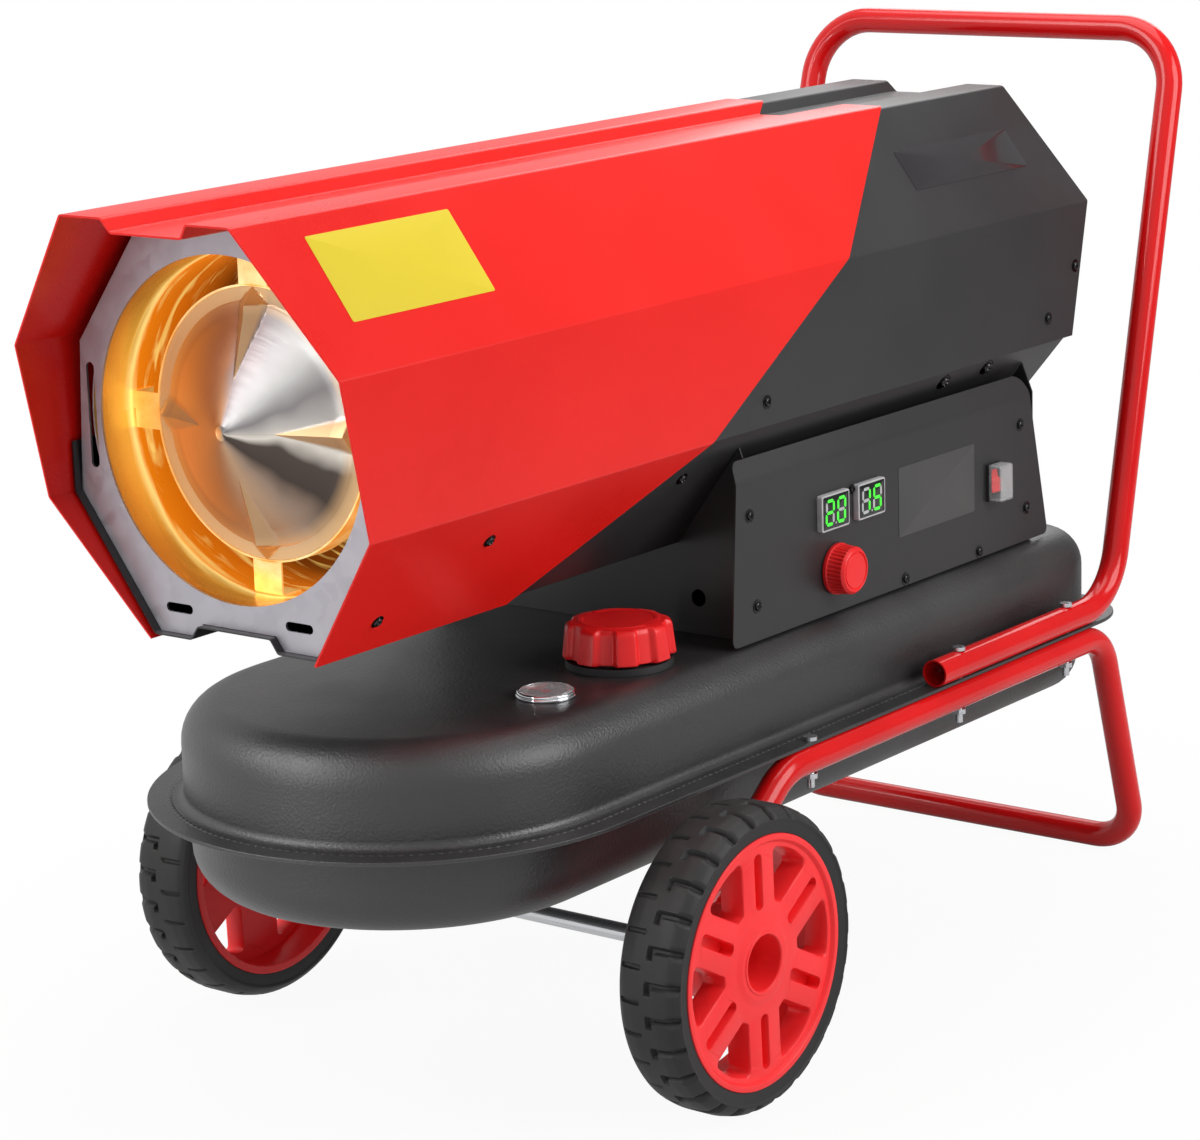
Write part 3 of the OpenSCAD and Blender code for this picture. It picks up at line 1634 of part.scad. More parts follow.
// Screws on the casing's slants behind the seam, with the size of each head
casing_screw_runs = [157, 223, 157];
casing_slant_screws = [
    [split_y + casing_screw_runs[0], 31, 1],
    [body_len - casing_screw_runs[1], 12, 1.25],
    [body_len - casing_screw_runs[2], 10, 1.25]];
module slant_screw(y, down, inset, scale_r) {
    x = wide_half(inset) - down / tan(slant_turn);
    translate([x, y, axis_z - side_half(inset) - down])
        rotate([0, 180 - slant_turn, 0])
            translate([0, 0, seat_gap])
                cylinder(h = screw_head_h * scale_r, r = screw_head_r * scale_r);
}

module casing_screws() {
    color("#2c2c2e")
        for (s = [0, 1])
            mirror([s, 0, 0]) {
                for (p = side_screws)
                    side_screw(wide_half(rear_inset), from_tip(p[0]), axis_z - side_h / 2 + p[1]);
                for (p = slant_screws)
                    slant_screw(from_tip(p[0]), p[1], 0, 1);
                for (p = casing_slant_screws)
                    slant_screw(from_tip(p[0]), p[1], casing_inset, p[2]);
            }
}

// Panel screws, as distance from the panel's front edge and height above the deck
panel_low_screw = 1 + screw_head_r;
panel_screw_places = [
    [26, 102],
    [34, 28],
    [248, panel_low_screw],
    [364, panel_low_screw],
    [442, 29],
    [432, 104]];
module panel_screws() {
    color("#2c2c2e")
        for (s = [0, 1])
            mirror([s, 0, 0])
                for (p = panel_screw_places)
                    side_screw(panel_x, panel_front + p[0], panel_bottom + p[1]);
}

front_cover();
rear_cover();
lower_casing();
outlet_plate();
heat_shield();
shield_spacers();
chamber_saddles();
combustion_chamber();
flame_cone();
cone_ring();
burner_head();
fuel_nozzle();
ignition_electrodes();
flame_sensor();
fan_motor();
motor_cradle();
motor_shaft();
fan_blade();
pump_housing();
pump_rotor();
pump_cover();
intake_guard();
pedestal();
control_panel();
far_panel();
control_board();
ignition_transformer();
display_left();
display_right();
thermostat_knob();
thermostat_shaft();
thermostat_body();
switch_body();
switch_rocker();
switch_cover();
cord_gland();
tank_upper();
tank_lower();
filler_neck();
filler_strainer();
fuel_cap();
cap_gasket();
gauge_body();
gauge_lens();
gauge_needle();
float_arm();
fuel_pickup();
fuel_line();
air_line();
frame_tube();
handle_tube();
wheel_axle();
hub_left();
hub_right();
tyre_left();
tyre_right();
axle_fittings();
frame_bolts();
casing_screws();
panel_screws();
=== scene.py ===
# %% [markdown]
# # A diesel heater on wheels
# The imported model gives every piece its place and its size. This lesson keeps that frame and lays the
# visible skin over it: bent sheet, a pressed tank, bent tubes, moulded wheels and the small things on the
# panel. Each skin is worked out with numpy as a surface over two parameters, in millimetres, and then
# made a mesh.

import bmesh
import bpy
import numpy as np
from mathutils import Matrix, Vector


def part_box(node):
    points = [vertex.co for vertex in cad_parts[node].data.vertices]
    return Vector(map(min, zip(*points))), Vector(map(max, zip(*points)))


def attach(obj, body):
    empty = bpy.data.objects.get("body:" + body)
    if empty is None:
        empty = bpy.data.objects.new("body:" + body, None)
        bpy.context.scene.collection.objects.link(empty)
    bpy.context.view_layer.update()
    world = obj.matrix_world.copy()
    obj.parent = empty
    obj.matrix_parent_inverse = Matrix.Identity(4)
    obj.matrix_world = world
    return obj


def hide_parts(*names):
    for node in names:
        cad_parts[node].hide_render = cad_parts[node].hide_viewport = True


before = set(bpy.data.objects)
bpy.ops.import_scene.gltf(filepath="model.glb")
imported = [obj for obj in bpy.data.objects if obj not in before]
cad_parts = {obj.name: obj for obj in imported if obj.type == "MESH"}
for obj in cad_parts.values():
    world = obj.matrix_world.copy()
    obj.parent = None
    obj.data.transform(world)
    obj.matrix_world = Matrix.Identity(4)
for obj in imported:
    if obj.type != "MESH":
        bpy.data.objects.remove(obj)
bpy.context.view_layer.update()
MM = 0.001

# %% [markdown]
# ## Camera
# The photograph was taken from the front right, a little above the axis. Its lens was found together with
# the heater's main sizes, so the camera is written as a direction, a roll, a look point and a distance.

# %% The photograph's camera
AZIMUTH, ELEVATION, ROLL = np.radians([37.752, 13.269, -1.787])
LOOK_AT = np.array([12.6, -78.8, 357.8])
CAMERA_RUN = 2902.8
LENS_MM, SENSOR_MM, SIGHT_M = 108.76, 36.0, 50.0


def camera_matrix():
    """Columns: the picture's right, its up, the way back to the camera, and the camera's place."""
    back = np.array([np.sin(AZIMUTH), -np.cos(AZIMUTH), np.tan(ELEVATION)]) * np.cos(ELEVATION)
    level = np.cross([0, 0, 1], back)
    level /= np.linalg.norm(level)
    rise = np.cross(back, level)
    right = np.cos(ROLL) * level + np.sin(ROLL) * rise
    up = -np.sin(ROLL) * level + np.cos(ROLL) * rise
    place = (LOOK_AT + CAMERA_RUN * back) * MM
    return Matrix(np.vstack([np.column_stack([right, up, back, place]), [0, 0, 0, 1]]).tolist())


lens = bpy.data.cameras.new("camera")
lens.lens = LENS_MM
lens.sensor_width = SENSOR_MM
lens.sensor_fit = "HORIZONTAL"
lens.clip_end = SIGHT_M
camera = bpy.data.objects.new("camera", lens)
bpy.context.scene.collection.objects.link(camera)
camera.matrix_world = camera_matrix()
bpy.context.scene.camera = camera
print("camera at", [round(c, 3) for c in camera.matrix_world.translation])

# %% [markdown]
# ## Surfaces from numbers
# A grid of points becomes quads between neighbours. Two grids of one shape, an outer and an inner one,
# close into a sheet with a real thickness. Points that fall together, as at a pole or a seam, are welded,
# and the faces are then turned outwards.

# %% Grids, sheets and pieces
WELD_M = 2e-6


def patch(grid, wrap_rows=False, wrap_columns=False):
    """Quads over a grid of points: each cell joins four neighbours; wrapping joins the last to the first."""
    rows, columns = grid.shape[:2]
    last_row, last_column = rows - 1 + wrap_rows, columns - 1 + wrap_columns
    i, j = np.meshgrid(np.arange(last_row), np.arange(last_column), indexing="ij")
    i2, j2 = (i + 1) % rows, (j + 1) % columns
    quads = np.stack([i * columns + j, i2 * columns + j, i2 * columns + j2, i * columns + j2], -1)
    return grid.reshape(-1, 3), quads.reshape(-1, 4)


def strip(line_a, line_b):
    """One row of quads between two lines of points."""
    return patch(np.stack([line_a, line_b]))


def slab(outer, inner):
    """A closed sheet: the outer grid, the inner grid, and strips along the four edges."""
    edges = [
        strip(outer[0], inner[0]),
        strip(outer[-1], inner[-1]),
        strip(outer[:, 0], inner[:, 0]),
        strip(outer[:, -1], inner[:, -1]),
    ]
    return [patch(outer), patch(inner)] + edges


def stitch(patches):
    """All points and quads in one list, the quads' numbers moved on by the points before them."""
    starts = np.cumsum([0] + [len(points) for points, quads in patches[:-1]])
    points = np.concatenate([points for points, quads in patches])
    quads = np.concatenate([quads + start for (_, quads), start in zip(patches, starts)])
    return points, quads


def make_piece(name, patches, finish, body="heater", stands_for=(), crease=32):
    """A finished piece: welded, facing outwards, smooth below the crease angle, and riding on its body."""
    points, quads = stitch(patches)
    mesh = bpy.data.meshes.new(name)
    mesh.from_pydata((points * MM).tolist(), [], quads.tolist())
    work = bmesh.new()
    work.from_mesh(mesh)
    bmesh.ops.remove_doubles(work, verts=work.verts, dist=WELD_M)
    bmesh.ops.recalc_face_normals(work, faces=work.faces)
    work.to_mesh(mesh)
    work.free()
    mesh.polygons.foreach_set("use_smooth", np.ones(len(mesh.polygons), bool))
    mesh.set_sharp_from_angle(angle=np.radians(crease))
    mesh.materials.append(finish)
    piece = bpy.data.objects.new(name, mesh)
    bpy.context.scene.collection.objects.link(piece)
    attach(piece, body)
    if stands_for:
        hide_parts(*stands_for)
    print(name, len(mesh.polygons), "faces on", body)


def span(node):
    """Lowest and highest corner of a CAD node, in millimetres."""
    low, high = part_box(node)
    return np.array(low) / MM, np.array(high) / MM


print("the upper tank takes up", np.round(np.subtract(*span("tank_upper")[::-1]), 1), "mm")

# %% [markdown]
# Paths are made from a few corner points. Each corner is replaced by an arc that leaves one run and meets
# the next without a kink, which is how sheet and tube are really bent.

# %% Paths with rounded corners


def unit(vectors):
    """Vectors of length one."""
    return vectors / np.maximum(np.linalg.norm(vectors, axis=-1, keepdims=True), 1e-12)


def rounded(corners, radii, steps=6, closed=False):
    """A path through corner points: at each corner an arc of its radius, swept evenly from run to run.

    With half the turn h, the arc starts r tan h before the corner, and its middle is r / cos h from it.
    """
    corners = np.asarray(corners, float)
    before, after = np.roll(corners, 1, 0), np.roll(corners, -1, 0)
    come, go = unit(corners - before), unit(after - corners)
    half = np.arccos(np.clip((come * go).sum(-1), -1, 1)) / 2
    radii = np.broadcast_to(np.asarray(radii, float), len(corners))
    middle = corners + unit(go - come) * (radii / np.cos(half))[:, None]
    start = corners - come * (radii * np.tan(half))[:, None] - middle
    sweep = (2 * half)[:, None] * np.linspace(0, 1, steps + 1)
    arcs = (
        middle[:, None]
        + start[:, None] * np.cos(sweep)[..., None]
        + come[:, None] * radii[:, None, None] * np.sin(sweep)[..., None]
    )
    if closed:
        return arcs.reshape(-1, corners.shape[1])
    inner = arcs[1:-1].reshape(-1, corners.shape[1])
    return np.concatenate([corners[:1], inner, corners[-1:]])


def inset(corners, depth):
    """Corner points moved to the left of a flat path, so that every run moves by the same depth."""
    corners = np.asarray(corners, float)
    runs = unit(np.diff(corners, axis=0))
    left = np.stack([-runs[:, 1], runs[:, 0]], -1)
    first, second = np.vstack([left[:1], left]), np.vstack([left, left[-1:]])
    return corners + depth * (first + second) / (1 + (first * second).sum(-1, keepdims=True))


def turns(corners):
    """Sign of each corner's turn along a flat path: 1 to the left, -1 to the right, and 1 at the two ends."""
    runs = np.diff(np.asarray(corners, float), axis=0)
    sign = np.sign(runs[:-1, 0] * runs[1:, 1] - runs[:-1, 1] * runs[1:, 0])
    return np.concatenate([[1], sign, [1]])


def mirrored(half):
    """A path made whole: the half as it is, then its mirror image across X, run backwards."""
    half = np.asarray(half, float)
    return np.vstack([half, half[::-1] * [-1, 1]])


print("a path with one bend has", len(rounded([(0, 0), (100, 0), (100, 100)], [0, 20, 0])), "points")

# %% [markdown]
# ## Finishes
# Nearly everything on the heater is powder-coated sheet or moulded plastic, and those share one look: a
# colour that drifts a little, a gloss that drifts with it, and a fine peel or grain. One node group makes
# all three from Object coordinates, and each finish places it with its own values. Bare metal has a
# second group, whose noise is stretched so that it reads as drawn, ground or brushed.

# %% Node helpers


def add(tree, kind, inputs=None, **settings):
    """Place a shader node, apply its settings, and fill its sockets with values or with other sockets."""
    made = tree.nodes.new("ShaderNode" + kind)
    for key, value in settings.items():
        setattr(made, key, value)
    for key, value in (inputs or {}).items():
        if isinstance(value, bpy.types.NodeSocket):
            tree.links.new(value, made.inputs[key])
        else:
            made.inputs[key].default_value = value
    return made


def blend(tree, share, first, second):
    """Colour between two colours, by a share from 0 to 1."""
    return add(tree, "Mix", {0: share, 6: first, 7: second}, data_type="RGBA").outputs[2]


def remap(tree, value, low, high, to_low, to_high):
    """A value carried from one range to another, held at its ends."""
    ends = {0: value, 1: low, 2: high, 3: to_low, 4: to_high}
    return add(tree, "MapRange", ends).outputs[0]


def compute(tree, operation, first, second=0.5):
    """One sum on two values."""
    return add(tree, "Math", {0: first, 1: second}, operation=operation).outputs[0]


def noise(tree, vector, size, detail=2.0, **more):
    """A soft noise over a vector, at a size per unit; more sets its other sockets."""
    return add(tree, "TexNoise", {"Vector": vector, "Scale": size, "Detail": detail, **more}).outputs["Fac"]


def own_place(tree):
    """The piece's own coordinates, in metres."""
    return add(tree, "TexCoord").outputs["Object"]


def feed(tree, node, **sockets):
    """Link values to a node's inputs of the same names."""
    for key, socket in sockets.items():
        tree.links.new(socket, node.inputs[key.replace("_", " ")])


print("helpers ready for", bpy.app.version_string)

# %% [markdown]
# A group is a small machine with named sockets that many finishes share. The coat's group lets colour and
# gloss drift together over a broad noise. The metal's group stretches its noise, so that the marks run
# one way. The dust's group lays a pale colour on whatever faces up.

# %% Skins shared by the finishes
COLOUR, NUMBER, PLACE = "NodeSocketColor", "NodeSocketFloat", "NodeSocketVector"
SKIN_OUTPUTS = {COLOUR: ["Colour"], NUMBER: ["Roughness", "Height"]}


def new_group(name, inputs, outputs):
    """An empty shader group with named sockets; returns its tree, the given sockets and its output node."""
    tree = bpy.data.node_groups.new(name, "ShaderNodeTree")
    for way, sockets in (("INPUT", inputs), ("OUTPUT", outputs)):
        for kind, labels in sockets.items():
            for label in labels:
                tree.interface.new_socket(label, in_out=way, socket_type=kind)
    return tree, tree.nodes.new("NodeGroupInput").outputs, tree.nodes.new("NodeGroupOutput")


def coat_skin_group():
    """Colour and gloss drift with a broad noise, and the height is a fine noise, at sizes per metre."""
    colours, numbers = ["Colour", "Drift Colour"], ["Drift Size", "Grain Size", "Rough Low", "Rough High"]
    tree, given, out = new_group("Coat skin", {COLOUR: colours, NUMBER: numbers}, SKIN_OUTPUTS)
    place = own_place(tree)
    broad = noise(tree, place, given["Drift Size"], 3.0)
    fine = noise(tree, place, given["Grain Size"])
    drift = remap(tree, broad, 0.35, 0.7, 0.0, 1.0)
    speck = compute(tree, "MULTIPLY", fine, 0.35)
    both = compute(tree, "ADD", compute(tree, "MULTIPLY", drift, 0.65), speck)
    colour = blend(tree, drift, given["Colour"], given["Drift Colour"])
    rough = remap(tree, both, 0.1, 0.8, given["Rough Low"], given["Rough High"])
    feed(tree, out, Colour=colour, Roughness=rough, Height=fine)
    return tree


def metal_skin_group():
    """Noise on stretched coordinates: streaks along one direction, in colour, gloss and height."""
    sockets = {COLOUR: ["Colour", "Streak Colour"], PLACE: ["Stretch"], NUMBER: ["Rough Low", "Rough High"]}
    tree, given, out = new_group("Metal skin", sockets, SKIN_OUTPUTS)
    drawn = add(tree, "Mapping", {"Vector": own_place(tree), "Scale": given["Stretch"]})
    streak = noise(tree, drawn.outputs[0], 1.0, 4.0)
    share = remap(tree, streak, 0.35, 0.65, 0.0, 1.0)
    colour = blend(tree, share, given["Colour"], given["Streak Colour"])
    rough = remap(tree, share, 0.0, 1.0, given["Rough Low"], given["Rough High"])
    feed(tree, out, Colour=colour, Roughness=rough, Height=streak)
    return tree


def dust_group():
    """Pale dust where a surface faces up, broken by noise: a colour over the finish below it."""
    sockets = {COLOUR: ["Colour", "Dust Colour"], NUMBER: ["Amount"]}
    tree, given, out = new_group("Settled dust", sockets, {COLOUR: ["Colour"]})
    facing = add(tree, "SeparateXYZ", {0: add(tree, "NewGeometry").outputs["Normal"]})
    upward = remap(tree, facing.outputs["Z"], 0.2, 1.0, 0.0, 1.0)
    patchy = remap(tree, noise(tree, own_place(tree), 38.0, 5.0), 0.4, 0.75, 0.0, 1.0)
    share = compute(tree, "MULTIPLY", compute(tree, "MULTIPLY", upward, patchy), given["Amount"])
    feed(tree, out, Colour=blend(tree, share, given["Colour"], given["Dust Colour"]))
    return tree


COAT_SKIN, METAL_SKIN, DUST = coat_skin_group(), metal_skin_group(), dust_group()
print("groups", [group.name for group in bpy.data.node_groups])

# %% [markdown]
# A finish is one material. Numbers that are the same all over sit on the shader's own sockets, and a
# group gives only what changes over the surface: colour, roughness and the height of the skin.

# %% Makers of finishes
DUST_COLOUR = (0.42, 0.40, 0.37, 1)


def new_finish(name, **plain):
    """A material with its Principled shader; plain values sit on the shader's own sockets."""
    made = bpy.data.materials.new(name)
    made.use_nodes = True
    shader = made.node_tree.nodes["Principled BSDF"]
    for key, value in plain.items():
        shader.inputs[key.replace("_", " ")].default_value = value
    return made, made.node_tree, shader


def raise_skin(tree, shader, height, depth_mm):
    """Height through a Bump node into the shader's normal."""
    bump = add(tree, "Bump", {"Height": height, "Strength": 1.0, "Distance": depth_mm * MM})
    feed(tree, shader, Normal=bump.outputs["Normal"])


def skinned(name, group, values, peel, dust=0.0, **plain):
    """A finish from a skin group: its colour, perhaps under dust, its roughness and its raised height."""
    made, tree, shader = new_finish(name, **plain)
    skin = add(tree, "Group", values, node_tree=group).outputs
    shown = skin["Colour"]
    if dust:
        cover = {"Colour": shown, "Dust Colour": DUST_COLOUR, "Amount": dust}
        shown = add(tree, "Group", cover, node_tree=DUST).outputs["Colour"]
    feed(tree, shader, Base_Color=shown, Roughness=skin["Roughness"])
    raise_skin(tree, shader, skin["Height"], peel)
    return made


def coated(name, colour, drift_colour, drift, grain, rough, peel, **plain):
    """Paint or moulded plastic from the coat group."""
    values = {"Colour": (*colour, 1), "Drift Colour": (*drift_colour, 1), "Drift Size": drift}
    values |= {"Grain Size": grain, "Rough Low": rough[0], "Rough High": rough[1]}
    return skinned(name, COAT_SKIN, values, peel, **plain)


def bare_metal(name, colour, streak_colour, stretch, rough, peel):
    """Metal with drawn, ground or cast streaks from the metal group."""
    values = {"Colour": (*colour, 1), "Streak Colour": (*streak_colour, 1), "Stretch": stretch}
    values |= {"Rough Low": rough[0], "Rough High": rough[1]}
    return skinned(name, METAL_SKIN, values, peel, Metallic=1.0)


print("materials before the finishes", len(bpy.data.materials))


# %% [markdown]
# The coats: glossy red powder on the front cover and the tubes, satin black on the other sheet, and a
# grainy black on the tank. The plastics are softer: the wheels' red is satin, the cap and the knob have
# more gloss.

# %% Paints and plastics
red_powder = coated(
    "red powder coat", (0.72, 0.010, 0.007), (0.80, 0.014, 0.010),
    drift=4, grain=1600, rough=(0.26, 0.34), peel=0.006,
    Specular_IOR_Level=0.26,
)
red_tube = coated(
    "red tube coat", (0.60, 0.005, 0.006), (0.68, 0.007, 0.008),
    drift=9, grain=420, rough=(0.12, 0.19), peel=0.012,
    Specular_IOR_Level=0.32,
)
black_powder = coated(
    "black satin coat", (0.014, 0.0135, 0.015), (0.020, 0.0195, 0.021),
    drift=5, grain=1500, rough=(0.38, 0.48), peel=0.025, dust=0.012,
    Specular_IOR_Level=0.48,
)
tank_coat = coated(
    "grained black coat", (0.012, 0.012, 0.013), (0.018, 0.018, 0.019),
    drift=6, grain=450, rough=(0.38, 0.52), peel=0.38, dust=0.02,
    Specular_IOR_Level=0.75,
)
hub_plastic = coated(
    "red wheel plastic", (0.90, 0.024, 0.028), (0.94, 0.032, 0.036),
    drift=14, grain=1300, rough=(0.34, 0.46), peel=0.03,
    Subsurface_Weight=0.06, Subsurface_Radius=(0.004, 0.001, 0.001), Specular_IOR_Level=0.35,
)
red_plastic = coated(
    "red moulded plastic", (0.78, 0.010, 0.012), (0.84, 0.015, 0.016),
    drift=20, grain=1600, rough=(0.28, 0.40), peel=0.02,
    Subsurface_Weight=0.06, Subsurface_Radius=(0.003, 0.001, 0.001), Specular_IOR_Level=0.4,
)
black_plastic = coated(
    "black moulded plastic", (0.014, 0.014, 0.015), (0.020, 0.020, 0.021),
    drift=15, grain=1500, rough=(0.38, 0.52), peel=0.04,
    Specular_IOR_Level=0.4,
)
rubber = coated(
    "soft rubber", (0.014, 0.014, 0.014), (0.020, 0.019, 0.018),
    drift=18, grain=1400, rough=(0.6, 0.75), peel=0.04,
)
tyre_rubber = coated(
    "tyre rubber", (0.013, 0.013, 0.014), (0.020, 0.0195, 0.019),
    drift=22, grain=1100, rough=(0.50, 0.66), peel=0.06, dust=0.03,
    Specular_IOR_Level=0.35,
)
motor_paint = coated(
    "motor paint", (0.045, 0.048, 0.054), (0.06, 0.063, 0.07),
    drift=12, grain=900, rough=(0.35, 0.5), peel=0.05,
)
board_lacquer = coated(
    "board lacquer", (0.01, 0.10, 0.035), (0.02, 0.14, 0.05),
    drift=60, grain=700, rough=(0.25, 0.45), peel=0.05,
)
ceramic = coated(
    "glazed ceramic", (0.80, 0.78, 0.72), (0.70, 0.67, 0.60),
    drift=40, grain=1200, rough=(0.12, 0.22), peel=0.01,
)
blank_yellow = coated(
    "yellow blank", (0.68, 0.53, 0.022), (0.65, 0.505, 0.019),
    drift=8, grain=1400, rough=(0.34, 0.42), peel=0.006,
    Specular_IOR_Level=0.3,
)
blank_dark = coated(
    "dark blank", (0.020, 0.018, 0.020), (0.028, 0.026, 0.028),
    drift=9, grain=1500, rough=(0.14, 0.22), peel=0.006,
    Coat_Weight=0.3,
)
blank_grey = coated(
    "grey blank", (0.046, 0.044, 0.045), (0.056, 0.054, 0.055),
    drift=9, grain=1500, rough=(0.36, 0.48), peel=0.006,
)
bezel_plastic = coated(
    "grey bezel plastic", (0.42, 0.41, 0.42), (0.52, 0.51, 0.52),
    drift=70, grain=1500, rough=(0.16, 0.30), peel=0.02,
    Coat_Weight=0.4,
)
screen_black = coated(
    "display screen", (0.004, 0.005, 0.005), (0.008, 0.010, 0.009),
    drift=60, grain=1800, rough=(0.10, 0.18), peel=0.004,
)
pale_bars = coated(
    "unlit display bars", (0.40, 0.41, 0.41), (0.50, 0.51, 0.51),
    drift=90, grain=1500, rough=(0.3, 0.45), peel=0.004,
)
print("coats", len(bpy.data.materials))

# %% [markdown]
# The metals differ mostly in how their marks run: along the axle, upright on the brass, every way on
# zinc. The fan is plain sheet, the pump is cast, the fuel line is copper, and the screws are blackened.
# Galvanised sheet shows its zinc crystals as cells.

# %% Metals
ground_steel = bare_metal(
    "ground steel", (0.62, 0.63, 0.65), (0.50, 0.51, 0.53),
    stretch=(18, 900, 900), rough=(0.16, 0.30), peel=0.004,
)
zinc_plate = bare_metal(
    "zinc plate", (0.66, 0.67, 0.69), (0.52, 0.54, 0.57),
    stretch=(420, 420, 420), rough=(0.22, 0.36), peel=0.01,
)
dark_steel = bare_metal(
    "dark sheet steel", (0.22, 0.225, 0.235), (0.15, 0.155, 0.16),
    stretch=(160, 40, 160), rough=(0.35, 0.5), peel=0.01,
)
black_oxide = bare_metal(
    "black oxide steel", (0.050, 0.050, 0.052), (0.024, 0.024, 0.025),
    stretch=(700, 700, 700), rough=(0.12, 0.22), peel=0.01,
)
brass = bare_metal(
    "drawn brass", (0.64, 0.44, 0.15), (0.50, 0.33, 0.10),
    stretch=(400, 400, 90), rough=(0.25, 0.4), peel=0.006,
)
copper = bare_metal(
    "copper line", (0.62, 0.27, 0.13), (0.45, 0.18, 0.08),
    stretch=(300, 120, 120), rough=(0.25, 0.42), peel=0.006,
)
cast_metal = bare_metal(
    "cast aluminium", (0.52, 0.53, 0.55), (0.40, 0.41, 0.43),
    stretch=(700, 700, 700), rough=(0.42, 0.58), peel=0.05,
)
chrome = bare_metal(
    "chromed rim", (0.74, 0.75, 0.77), (0.66, 0.67, 0.69),
    stretch=(260, 260, 260), rough=(0.06, 0.14), peel=0.002,
)


def galvanised_finish():
    """Zinc spangle: Voronoi cells give each crystal its own grey and gloss, over a fine rolled grain."""
    made, tree, shader = new_finish("galvanised sheet", Metallic=0.85)
    place = own_place(tree)
    bent = add(tree, "TexNoise", {"Vector": place, "Scale": 60.0, "Detail": 2.0})
    moved = blend(tree, 0.012, place, bent.outputs["Color"])
    crystal = add(tree, "TexVoronoi", {"Vector": moved, "Scale": 95.0})
    grey = add(tree, "SeparateXYZ", {0: crystal.outputs["Color"]}).outputs["X"]
    colour = blend(tree, grey, (0.36, 0.345, 0.375, 1), (0.39, 0.375, 0.405, 1))
    feed(tree, shader, Base_Color=colour, Roughness=remap(tree, grey, 0.0, 1.0, 0.40, 0.48))
    raise_skin(tree, shader, noise(tree, place, 900.0), 0.012)
    return made


galvanised = galvanised_finish()
print("finishes", len(bpy.data.materials))

# %% [markdown]
# ## The hot end's colours
# Steel that has been hot turns straw, gold and then brown.
# Depth behind the outlet plate drives one ramp of heat colours for the steel and another for an emission,
# a painted glow that keeps the chamber bright in the shade of the hood. Painted glints streak round the
# wall, and painted shade dims the glow away from the left side.

# %% Heat-tinted steel
chamber_low, chamber_high = span("combustion_chamber")
AXIS_Z = (chamber_low[2] + chamber_high[2]) / 2
PLATE_Y = span("outlet_plate")[0][1]
CHAMBER_T = 1.5
CHAMBER_R = chamber_high[0] - CHAMBER_T


def polar_place(tree):
    """Metres behind the outlet plate, and radius and angle about the burner's axis."""
    axes = add(tree, "SeparateXYZ", {0: own_place(tree)}).outputs
    rise = compute(tree, "SUBTRACT", axes["Z"], AXIS_Z * MM)
    depth = compute(tree, "SUBTRACT", axes["Y"], PLATE_Y * MM)
    flat = add(tree, "CombineXYZ", {0: axes["X"], 1: rise})
    radius = add(tree, "VectorMath", {0: flat.outputs[0]}, operation="LENGTH").outputs["Value"]
    angle = compute(tree, "ARCTAN2", rise, axes["X"])
    return depth, radius, angle


def ramp(tree, value, stops):
    """Colour ramp with the given stops, each a place from 0 to 1 and a colour."""
    made = add(tree, "ValToRGB", {0: value})
    band = made.color_ramp
    while len(band.elements) < len(stops):
        band.elements.new(0.5)
    for element, (place, colour) in zip(band.elements, stops):
        element.position = place
        element.color = (*colour, 1)
    return made.outputs["Color"]


# Heat colours by depth behind the plate; the bright stop at 0.30 is a painted highlight line at the step.
WALL_TINT = [
    (0.0, (0.44, 0.19, 0.030)),
    (0.26, (0.52, 0.24, 0.036)),
    (0.30, (0.95, 0.62, 0.16)),
    (0.34, (0.62, 0.20, 0.02)),
    (0.62, (0.46, 0.13, 0.010)),
    (1.0, (0.22, 0.06, 0.006)),
]
# Painted glow by depth: emission colours, with a bright painted highlight line at the step.
WALL_PAINTED_GLOW = [
    (0.0, (0.18, 0.085, 0.012)),
    (0.22, (0.66, 0.38, 0.050)),
    (0.29, (1.00, 0.78, 0.26)),
    (0.33, (0.76, 0.20, 0.005)),
    (0.62, (0.55, 0.12, 0.002)),
    (1.0, (0.10, 0.02, 0.0)),
]


def chamber_painted_glow_finish():
    """Gold near the mouth, a painted highlight at the step, then orange and brown, under a painted glow."""
    made, tree, shader = new_finish("chamber steel, painted glow", Metallic=1.0, Emission_Strength=0.9)
    depth, _, angle = polar_place(tree)
    turned = compute(tree, "MULTIPLY", angle, 1.2)
    sunk = compute(tree, "MULTIPLY", depth, 55)
    flat = add(tree, "CombineXYZ", {0: turned, 1: sunk}).outputs[0]
    streak = noise(tree, flat, 1.7, 3.0, Distortion=0.7)
    wander = remap(tree, streak, 0.3, 0.7, -0.002, 0.002)
    inward = remap(tree, compute(tree, "ADD", depth, wander), 0.0, 0.11, 0.0, 1.0)
    deep = remap(tree, inward, 0.30, 0.36, 0.0, 1.0)
    # Painted glints: bright yellow streaks in the glow, deep in the chamber.
    painted_glint = compute(tree, "MULTIPLY", remap(tree, streak, 0.52, 0.67, 0.0, 0.9), deep)
    glow_with_painted_glints = blend(tree, painted_glint, ramp(tree, inward, WALL_PAINTED_GLOW), (1.0, 0.68, 0.17, 1))
    # Painted shade: away from the left side the glow is blended towards dark brown, most near the mouth.
    far = remap(tree, compute(tree, "COSINE", angle), -1.0, -0.7, 0.0, 0.6)
    away = compute(tree, "MULTIPLY", far, remap(tree, inward, 0.20, 0.29, 1.0, 0.25))
    painted_glow = blend(tree, away, glow_with_painted_glints, (0.10, 0.035, 0.006, 1))
    rough = remap(tree, streak, 0.3, 0.7, 0.20, 0.34)
    # The base colour takes the heat colours, and the emission takes the painted glow.
    feed(tree, shader, Base_Color=ramp(tree, inward, WALL_TINT), Emission_Color=painted_glow, Roughness=rough)
    raise_skin(tree, shader, streak, 0.2)
    return made


chamber_painted_glow = chamber_painted_glow_finish()
print("hot end at", round(PLATE_Y, 1), "mm, radius", round(CHAMBER_R, 1), "mm")
